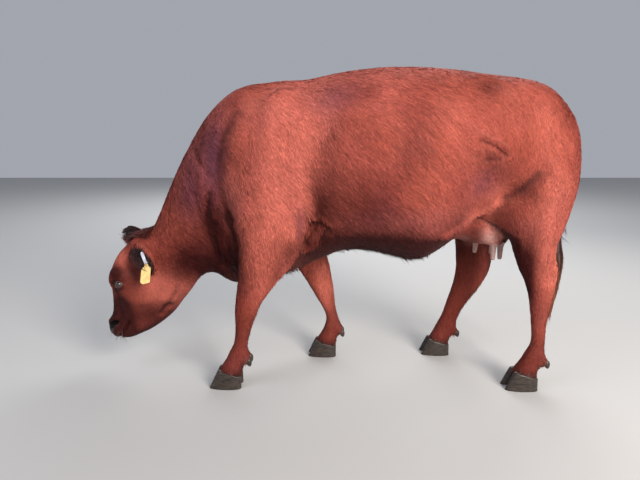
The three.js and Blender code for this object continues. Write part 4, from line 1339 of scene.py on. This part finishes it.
def tufts(name, roots, ways, ups, lengths, widths, colours, bends, patch, levels=(0, 0.55)):
    """Pointed ribbons as one mesh, with a pair of points at each level and one at the tip. At
    share s a ribbon's middle is root + length times (s way + s^2 bend), and its half width is
    w/2 (1 - s^2), across way and up. Colours run from 0.8 at the root to 1.15 at the tip. OFBake
    holds a small patch for each, at its root's place in patch, an array of two shares."""
    count, steps = len(roots), len(levels)
    across = unit(np.cross(ways, ups))
    share = np.array([*levels, 1.0])[None, :, None]
    middle = roots[:, None] + lengths[:, None, None] * share * ways[:, None]
    middle = middle + lengths[:, None, None] * share**2 * bends[:, None]
    half = (widths / 2)[:, None, None] * (1 - share**2) * across[:, None]
    sides = np.stack([middle[:, :-1] - half[:, :-1], middle[:, :-1] + half[:, :-1]], 2)
    sides = sides.reshape(count, 2 * steps, 3)
    own = np.concatenate([sides, middle[:, -1:]], 1)
    first = np.arange(count)[:, None] * (2 * steps + 1)
    quads = [first + [2 * k, 2 * k + 1, 2 * k + 3, 2 * k + 2] for k in range(steps - 1)]
    ends = first + [2 * steps - 2, 2 * steps - 1, 2 * steps]
    faces = [np.vstack(quads), ends] if quads else [ends]
    piece = mesh_object(name, own.reshape(-1, 3), faces)
    shade = np.concatenate([np.repeat(0.8 + 0.35 * share[0, :-1, 0], 2), [1.15]])
    paint(piece, "Coat", (colours[:, None] * shade[None, :, None]).reshape(-1, 3))
    spread = np.concatenate([np.repeat(share[0, :-1, 0], 2), [1]])
    edge = np.append(np.tile([-1, 1], steps), 0) * (1 - spread)
    flat = np.stack([edge, 2 * spread - 1], -1) * (TUFT_PATCH / 2)
    at = ((0.01 + 0.98 * np.clip(patch, 0, 1))[:, None] + flat).reshape(-1, 2)
    corners = np.concatenate([face.ravel() for face in faces])
    layer = piece.data.uv_layers.new(name="OFBake")
    layer.data.foreach_set("uv", at[corners].astype(np.float32).ravel())
    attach(piece, "root")
    return piece


hair, principled, nodes, links = shader("short_hair", 0.58, 0.28)
principled.inputs["Sheen Weight"].default_value = 0.4
principled.inputs["Sheen Roughness"].default_value = 0.4
fibres = object_noise(nodes, links, 260, 3, (1, 1, 0.35), (0, np.radians(40), 0))
painted(nodes, links, principled, "Coat", fibres, 0.78, 1.22, ("Sheen Tint", "Specular Tint"))
add_bump(nodes, links, principled, fibres, 0.5, 0.0015)


def fineness(points):
    """How short and fine the hair is: 0 on the body, 0.5 on the sleek hindquarters and the udder,
    0.85 on the lower legs and 1 on the face."""
    rear = 0.5 * smoothstep(points[:, 0], 380, 720)
    low = 0.85 * smoothstep(points[:, 2], 520, 260) * leg_share(points)
    return np.maximum(np.maximum(face_share(points), rear), low)


def wound(x, y):
    """The turn of a flat direction, as a share of a whole turn."""
    return np.arctan2(y, x) / (2 * np.pi) + 0.5


def unrolled(points, region):
    """Each point's place on a region unrolled like a sleeve: its turn round the region's own
    middle line and its share of the way along that line."""
    x, y, z = points.T
    if region in LEGS:
        across = leg_offset(points, *LEGS[region])
        return np.stack([wound(*across), z / 1250], -1)
    if region.startswith("head"):
        ahead = -(x + 700) * 0.375 - (z - 650) * 0.927
        return np.stack([wound((x + 850) * 0.927 - (z - 450) * 0.375, y), (ahead + 150) / 850], -1)
    if region == "neck":
        ahead = -(x + 100) * 0.71 - (z - 1150) * 0.71
        return np.stack([wound((x + 450) * 0.71 - (z - 850) * 0.71, y), (ahead + 200) / 1100], -1)
    if region == "tail":
        return np.stack([wound(x - 1100 + 0.15 * (z - 900), y + 5), (z - 600) / 650], -1)
    return np.stack([wound(z - 1000, y), (x + 350) / 1450], -1)


def region_of(points):
    """The name of the coat piece that each point belongs to. The udder's hair goes with the
    body's pieces."""
    x, y, z = points.T
    side = np.where(y < 0, "left", "right")
    end = np.select([x < 130, x < 640], ["front", "middle"], "rear")
    region = np.char.add(np.char.add(end, "_"), side).astype("U16")
    region[neck_share(points) > 0.5] = "neck"
    on_udder = (z > 640) & (np.abs(x - 740) <= 90)
    for leg, (rows, sign) in LEGS.items():
        off = np.hypot(*leg_offset(points, rows, sign))
        region[(off < 1.6) & (z < 690) & ~on_udder] = leg
    head = face_share(points) > 0.5
    region[head] = np.char.add("head_", side[head])
    region[tail_share(points) > 0.3] = "tail"
    return region


def place_on(values, corners, weights):
    """Values kept at a surface's points, read at roots scattered on it."""
    return np.sum(values[corners] * weights, axis=1)


def under_lids(points):
    """True where a place lies under an eye's lids."""
    return np.minimum(around_eye(points, LEFT)[1], around_eye(points, RIGHT)[1]) < 0.8


fine = fineness(points)
falling = bending(points, edges, normal, lie_of(points, normal))
density = BODY_TUFTS + (FINE_TUFTS - BODY_TUFTS) * fine
density = density * (1 - bare) * smoothstep(points[:, 2], 50, 62)
corners, weights = scattered(points, triangles, density, 1)
roots = place_on(points, corners, weights)
ups = unit(place_on(normal, corners, weights))
fall = place_on(falling[:, None], corners, weights)
keep = ~under_lids(roots)
roots, ups, fall = roots[keep], ups[keep], fall[keep]
chance = np.random.default_rng(2)
count = len(roots)
fine = fineness(roots)
ways = lie_of(roots, ups)
swirl = SWIRLS[0] * streaks(roots, ways, 110, 34, 40) + chance.normal(0, SWIRLS[1], count)
swirl = np.radians(swirl)[:, None]
ways = ways * np.cos(swirl) + np.cross(ups, ways) * np.sin(swirl)
lift = LIFT + LIFTS[0] * streaks(roots, ways, 60, 12, 60) + chance.normal(0, LIFTS[1], count)
lift = np.radians(np.maximum(lift, LEAST_LIFT))[:, None]
ways = ways * np.cos(lift) + ups * np.sin(lift)
roll = np.radians(chance.normal(0, ROLL, count))[:, None]
flat = ups * np.cos(roll) + np.cross(ways, ups) * np.sin(roll)
size = np.exp(chance.normal(0, 0.18, count))
lengths = (HAIR_LENGTH - FINE_SHORTER * fine) * size * (1 - 0.5 * np.clip(creased(roots), 0, 1))
widths = (TUFT_WIDTH - FINE_NARROWER * fine) * np.exp(chance.normal(0, 0.15, count))
colours = coat_colour(roots, ups)
# Locks lie lighter and darker in fine streaks, and in broad ones on all but the face.
rough = 1 - 0.75 * fine
coarse, thin = streaks(roots, ways, 55, 7, 80), streaks(roots, ways, 28, 4.5, 100)
streak = 1 + rough * (0.24 * coarse + 0.14 * thin)
streak = streak * (1 + 0.14 * (1 - face_share(roots)) * streaks(roots, ways, 85, 26, 60))
colours = colours * (streak * np.exp(chance.normal(0, 0.1, count)))[:, None]
roots = roots - ups * (0.7 - 0.4 * fine[:, None])
bends = -ups * (0.55 * np.sin(lift) + fall * lengths[:, None] / 2)
regions = region_of(roots)
for region in np.unique(regions):
    own = regions == region
    piece = tufts(
        "coat_" + region, roots[own], ways[own], flat[own], lengths[own], widths[own], colours[own],
        bends[own], unrolled(roots[own], region),
    )
    piece.data.materials.append(hair)


def grid_normals(grid):
    """The unit normals of a grid that wraps round its columns, from its central differences."""
    down = np.gradient(grid, axis=0)
    around = np.roll(grid, -1, 1) - np.roll(grid, 1, 1)
    return unit(np.cross(down, around))


# The lids' skin is haired outside its rims, from their sixth ring outward, and the hair is swept
# away from the eye.
LID_TUFTS = int(1500 * QUICK)
for name, side in SIDES.items():
    rows = lid_grids[name]
    chance = np.random.default_rng(3 + side)
    ring = 5.2 + 5.6 * np.sqrt(chance.random(LID_TUFTS))
    i, j = np.minimum(ring.astype(int), 10), chance.integers(0, rows.shape[1], LID_TUFTS)
    part = (ring - i)[:, None]
    roots = rows[i, j] * (1 - part) + rows[i + 1, j] * part
    roots = roots + chance.normal(0, 0.6, (LID_TUFTS, 3))
    ups = grid_normals(rows)[i, j]
    ups = ups * np.sign(ups @ eye_frame(side)[0])[:, None]
    away = unit(roots - eye_frame(side)[3])
    way = lie_of(roots, ups) + 0.7 * away
    way = unit(way - np.sum(way * ups, -1, keepdims=True) * ups)
    colours = coat_colour(roots, ups) * np.exp(chance.normal(0, 0.12, LID_TUFTS))[:, None]
    round_eye = np.stack([j / rows.shape[1], (ring - 5) / 6], -1)
    piece = tufts(
        "coat_lids_" + name, roots - ups * 0.2, unit(way + 0.17 * ups), ups,
        chance.uniform(5, 8, LID_TUFTS), np.full(LID_TUFTS, 1.3), colours, -0.1 * ups, round_eye,
    )
    piece.data.materials.append(hair)

# ------------------------------------------------------------------------------ the long hair
# Longer hair grows in pointed locks: the switch at the tail's end, the hair in the ears and on
# the poll, and fringes over the hooves, behind the legs and along the brisket.

LONG = (0, 0.25, 0.5, 0.75)  # the shares of its length at which a long lock has a pair of points
locks, principled, nodes, links = shader("long_hair", 0.5, 0.3)
principled.inputs["Sheen Weight"].default_value = 0.15
fibres = object_noise(nodes, links, 330, 3, (1, 1, 0.2))
painted(nodes, links, principled, "Coat", fibres, 0.7, 1.3, ("Sheen Tint",))
add_bump(nodes, links, principled, fibres, 0.5, 0.001)


def long_hair(name, roots, ways, ups, length, width, colour, bends, patch, seed):
    """Locks of varied length, width and shade, from a common length, width and colour."""
    chance = np.random.default_rng(seed)
    count = len(roots)
    lengths = length * np.exp(chance.normal(0, 0.22, count))
    widths = width * np.exp(chance.normal(0, 0.2, count))
    colours = np.broadcast_to(colour, (count, 3)) * np.exp(chance.normal(0, 0.16, count))[:, None]
    bends = np.broadcast_to(bends, roots.shape)
    piece = tufts(name, roots, ways, ups, lengths, widths, colours, bends, patch, LONG)
    piece.data.materials.append(locks)


SWITCH = [
    [1102, 661, 1077, 658, 12, -17],
    [1116, 605, 1066, 600, 21, -20],
    [1124, 540, 1056, 534, 29, -24],
    [1118, 472, 1050, 462, 29, -27],
    [1106, 404, 1052, 396, 21, -29],
    [1096, 350, 1060, 346, 13, -30],
    [1088, 312, 1072, 311, 5, -30],
]
SWITCH_DARK, SWITCH_END = np.array([0.034, 0.011, 0.009]), np.array([0.2, 0.06, 0.024])
SWITCH_RED = 560, 330  # the heights between which it turns from dark to red


def switch_place(share, turn, reach):
    """A place in the switch: a share of the way down, a turn round it, and a reach from its
    middle line, where 1 is the outline."""
    row = smooth_rows(SWITCH, 201)
    row = row[np.clip((share * 200).astype(int), 0, 200)]
    middle = np.stack([(row[:, 0] + row[:, 2]) / 2, row[:, 5], (row[:, 1] + row[:, 3]) / 2], -1)
    half_x = (row[:, 0] - row[:, 2]) / 2
    out = np.stack([np.cos(turn) * half_x, np.sin(turn) * row[:, 4], 0 * turn], -1)
    return middle + out * np.reshape(reach, (-1, 1)), unit(out)


# A narrower core fills the switch, and the locks lie over it.
core = []
for back, high, front, low, half, y in SWITCH:
    inset = 0.2 * (back - front)
    core.append([back - inset, high, front + inset, low, 0.8 * half, y])
switch = mesh_object("switch_core", *loft(core, 40, 8))
place = read_points(switch.data)
drop = smoothstep(place[:, 2], *SWITCH_RED)[:, None]
paint(switch, "Coat", (SWITCH_DARK + (SWITCH_END - SWITCH_DARK) * drop) * 0.6)
switch.data.materials.append(locks)
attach(switch, "root")
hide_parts("tail_switch")
chance = np.random.default_rng(5)
count = int(2600 * max(QUICK, 0.3))
share = chance.beta(1.1, 1.5, count) * 0.8
turn, reach = chance.uniform(0, 2 * np.pi, count), chance.uniform(0.72, 0.98, count)
roots, ups = switch_place(share, turn, reach)
ends, _ = switch_place(np.minimum(share + 0.24, 1), turn + chance.normal(0, 0.25, count), reach)
drop = smoothstep(ends[:, 2] + chance.normal(0, 40, count), *SWITCH_RED)[:, None]
colours = SWITCH_DARK + (SWITCH_END - SWITCH_DARK) * drop
long_hair(
    "switch_locks", roots, unit(ends - roots), ups, 88, 4.5, colours, 0.05 * ups,
    np.stack([turn / 2 / np.pi, share], -1), 6,
)


def rooted_on(region, count, seed):
    """Roots scattered evenly over the skin's faces where a region's share, from 0 to 1, allows."""
    a, b, c = (points[triangles[:, k]] for k in range(3))
    area = np.linalg.norm(np.cross(b - a, c - a), axis=1)
    wanted = area * region[triangles].mean(1) + 1e-12
    chance = np.random.default_rng(seed)
    count = max(20, int(count * QUICK))
    corners = triangles[chance.choice(len(triangles), count, p=wanted / wanted.sum())]
    weights = chance.dirichlet((1, 1, 1), count)[..., None]
    roots, ups = place_on(points, corners, weights), unit(place_on(normal, corners, weights))
    return roots, ups, lie_of(roots, ups), chance


def fringe(name, region, count, length, width, rise, fall, shade, seed):
    """Longer locks on part of the skin: they lift off it by a rise and bend down by a fall. Their
    colour is a shade of the coat's own. Their patches lie as they do in the side view, those of
    the left side in the map's first half."""
    roots, ups, ways, chance = rooted_on(region, count, seed)
    ways = unit(ways + rise * ups + chance.normal(0, 0.12, roots.shape))
    flat = unit(ups + chance.normal(0, 0.35, ups.shape))
    bends = np.array([0, 0, -fall]) - 0.3 * rise * ups
    colours = coat_colour(roots, ups) * shade
    low, high = roots.min(0), roots.max(0)
    spot = (roots - low) / (high - low)
    patch = np.stack([(spot[:, 0] + (roots[:, 1] > 0)) / 2, spot[:, 2]], -1)
    long_hair(name, roots - ups * 0.6, ways, flat, length, width, colours, bends, patch, seed + 50)


x, y, z = points.T
poll = blob(points, (-800, 0, 676), (52, 60, 36)) + 0.5 * blob(points, (-842, 0, 650), (40, 45, 30))
brisket = smoothstep(x, -420, -340) * smoothstep(x, -60, -140) * smoothstep(z, 600, 520)
brisket = brisket * (np.abs(y) < 110) * (1 - leg_share(points))
keel = smoothstep(x, 0, 120) * smoothstep(x, 640, 520) * smoothstep(normal[:, 2], -0.75, -0.95)
back_of_leg = np.zeros(len(points))
coronet_ring = np.zeros(len(points))
for rows, side in LEGS.values():
    off_x, off_y = leg_offset(points, rows, side)
    on_leg = np.hypot(off_x, off_y) < 1.5
    behind = on_leg * smoothstep(off_x, 0.35, 0.8) * smoothstep(z, 420, 330)
    back_of_leg = np.maximum(back_of_leg, behind)
    front, high, back, low, half, _ = rows[-1]
    rim = low + (high - low) * (back - x) / (back - front)
    coronet_ring = np.maximum(coronet_ring, on_leg * (np.abs(z - rim - 6) < 9))
# Region, count, length, width, rise, fall, shade and seed.
FRINGES = {
    "poll_hair": (smoothstep(poll, 0.2, 0.7), 2200, 42, 2.6, 0.8, 0.1, 0.3, 11),
    "brisket_hair": (brisket, 900, 30, 3, 0.25, 0.35, 0.8, 12),
    # The belly's fringe is darkened with painted shade.
    "belly_hair": (keel * (np.abs(y) < 120), 1600, 30, 3, 0.15, 0.25, 0.6, 13),
    "tail_end_hair": (tail_share(points) * smoothstep(z, 850, 690), 1500, 62, 3.4, 0.12, 0, 0.3, 16),
    "leg_feather": (back_of_leg, 2200, 17, 2, 0.3, 0.2, 0.75, 14),
    "coronet_fringe": (coronet_ring, 3000, 17, 1.9, 0.22, 0.15, 0.75, 15),
}
for name, recipe in FRINGES.items():
    fringe(name, *recipe)

# In each ear long dark hair fills the cup, a fringe of the rim's colour crosses in over it, and
# short hair covers the leaf.
EAR_LOCKS, EAR_FRINGE, EAR_DOWN = (int(total * QUICK) for total in (1100, 1500, 6500))
for name, pose in EARS.items():
    grid, colour = ear_surfaces[name]
    seed = 20 + len(name)
    chance = np.random.default_rng(seed)
    along = unit(np.array(pose["along"]))
    facing = unit(np.array(pose["facing"]) - along * (along @ pose["facing"]))
    # the cup
    share = chance.uniform(0.06, 0.8, EAR_LOCKS)
    across = chance.uniform(-0.85, 0.85, EAR_LOCKS) * ear_half(share)
    roots = ear_point(pose, share, across, np.full(EAR_LOCKS, 3.0))
    middle = ear_point(pose, np.minimum(share + 0.3, 1), across * 0.35, np.full(EAR_LOCKS, 26.0))
    ways = unit(unit(middle - roots) + chance.normal(0, 0.16, roots.shape))
    patch = np.stack([0.5 + across / EAR_WIDTH, share], -1)
    colours = EAR_CUP * chance.uniform(0.6, 2.4, EAR_LOCKS)[:, None]
    flat = unit(facing + chance.normal(0, 0.5, roots.shape))
    bends = -0.25 * facing + 0.2 * along
    long_hair("ear_locks_" + name, roots, ways, flat, 44, 2.2, colours, bends, patch, seed)
    # the rim
    share = chance.uniform(0.04, 0.99, EAR_FRINGE)
    edge = np.where(chance.random(EAR_FRINGE) < 0.5, -1, 1)
    across = edge * chance.uniform(0.86, 0.99, EAR_FRINGE) * ear_half(share)
    roots = ear_point(pose, share, across, np.full(EAR_FRINGE, 1.0))
    inward = ear_point(pose, share + 0.1, across * 0.72, np.full(EAR_FRINGE, 12.0))
    ways = unit(unit(inward - roots) + chance.normal(0, 0.22, roots.shape))
    patch = np.stack([0.5 + across / EAR_WIDTH, share], -1)
    flat = unit(facing + chance.normal(0, 0.4, roots.shape))
    colours = rim_colour(edge * np.ones(EAR_FRINGE)) * EAR_PAINTED_SHADE[name]
    bends = 0.25 * along
    long_hair("ear_fringe_" + name, roots, ways, flat, 21, 2.0, colours, bends, patch, seed + 1)
    # the whole leaf
    i = chance.integers(1, grid.shape[0] - 2, EAR_DOWN)
    j = chance.integers(0, grid.shape[1], EAR_DOWN)
    blend = chance.random((EAR_DOWN, 2, 1))
    start = grid[i, j] * (1 - blend[:, 0]) + grid[i + 1, j] * blend[:, 0]
    next_column = np.roll(grid, -1, 1)
    end = next_column[i, j] * (1 - blend[:, 0]) + next_column[i + 1, j] * blend[:, 0]
    roots = start * (1 - blend[:, 1]) + end * blend[:, 1]
    centre = grid.mean(1)[i]
    ups = grid_normals(grid)[i, j]
    ups = ups * np.sign(np.sum(ups * (roots - centre), -1))[:, None]
    flat = along - np.sum(along * ups, -1, keepdims=True) * ups
    ways = unit(flat + chance.normal(0, 0.12, ups.shape))
    colours = colour[i * grid.shape[1] + j] * np.exp(chance.normal(0, 0.13, EAR_DOWN))[:, None]
    patch = np.stack([j / grid.shape[1], i / grid.shape[0]], -1)
    piece = tufts(
        "ear_down_" + name, roots - ups * 0.2, unit(ways + 0.16 * ups), ups, np.full(EAR_DOWN, 10.0),
        np.full(EAR_DOWN, 1.8), colours, -0.1 * ups, patch,
    )
    piece.data.materials.append(hair)

# Upper lashes stand out from the lid's rim and droop over each eye, and a few whiskers stand on
# the chin and lips.
LASHES = 70
LASH_COLOUR, WHISKER_COLOUR = np.array([0.02, 0.01, 0.008]), np.array([0.1, 0.06, 0.05])
for name, side in SIDES.items():
    rows = lid_grids[name]
    way, along, up, centre = eye_frame(side)
    j = np.linspace(3, 37, LASHES).astype(int)
    roots = rows[2, j]
    spread = along * np.cos(j / 40 * np.pi)[:, None] * 0.5
    patch = np.stack([j / 80, np.full(LASHES, 0.5)], -1)
    ways, ups = unit(way + 0.5 * up + spread), up * np.ones((LASHES, 1))
    long_hair("lashes_" + name, roots, ways, ups, 17, 0.9, LASH_COLOUR, -0.45 * up, patch, 31)
chin = smoothstep(x, -890, -930) * smoothstep(z, 240, 200) * (1 - 0.5 * bare_share(points))
roots, ups, ways, chance = rooted_on(chin, 130, 33)
patch = np.stack([wound(roots[:, 0] + 940, roots[:, 1]), (roots[:, 2] - 160) / 100], -1)
upright = unit(ups + 0.5 * ways)
long_hair("whiskers", roots, upright, ways, 30, 0.8, WHISKER_COLOUR, 0.2 * ways, patch, 34)

# ------------------------------------------------------------------------------ the studio
# A plain pale floor and soft lights. The camera stands to the left of the cow, level with the
# flank, and looks down by ten degrees.
camera = bpy.data.cameras.new("camera")
camera.sensor_width = 36
camera.lens = 27.06
view = bpy.data.objects.new("camera", camera)
view.location = (-MIDDLE_X / 1000, -2.2, 1.02)
view.rotation_euler = (np.radians(90 - 10), 0, 0)
bpy.context.scene.collection.objects.link(view)
bpy.context.scene.camera = view
bpy.ops.mesh.primitive_plane_add(size=40)
floor = bpy.context.object
pale, principled, nodes, links = shader("floor", 0.9, 0.2)
principled.inputs["Base Color"].default_value = (0.46, 0.46, 0.45, 1)
floor.data.materials.append(pale)
bpy.context.scene.view_settings.view_transform = "Standard"
world = bpy.data.worlds.new("studio")
bpy.context.scene.world = world
world.use_nodes = True
world.node_tree.nodes["Background"].inputs["Color"].default_value = (0.86, 0.9, 1, 1)
world.node_tree.nodes["Background"].inputs["Strength"].default_value = 0.42


def soft_light(name, place, target, size, power, colour):
    """A square lamp of some metres, aimed at a point."""
    lamp = bpy.data.lights.new(name, "AREA")
    lamp.shape, lamp.size, lamp.energy, lamp.color = "SQUARE", size, power, colour
    piece = bpy.data.objects.new(name, lamp)
    piece.location = place
    piece.rotation_euler = (Vector(target) - Vector(place)).to_track_quat("-Z", "Y").to_euler()
    bpy.context.scene.collection.objects.link(piece)


soft_light("key", (2.9, -4.2, 2.9), (0.1, 0, 0.9), 2.2, 465, (1, 0.93, 0.86))
soft_light("fill", (-3.4, -2.2, 3.4), (-0.5, 0, 0.7), 3, 70, (0.86, 0.88, 1))
soft_light("rim", (1.8, 2.6, 3.6), (0, 0, 1), 2.5, 90, (1, 0.98, 0.96))
soft_light("back", (0, 7, 5), (0, 8.5, 0), 6, 420, (0.93, 0.95, 1))
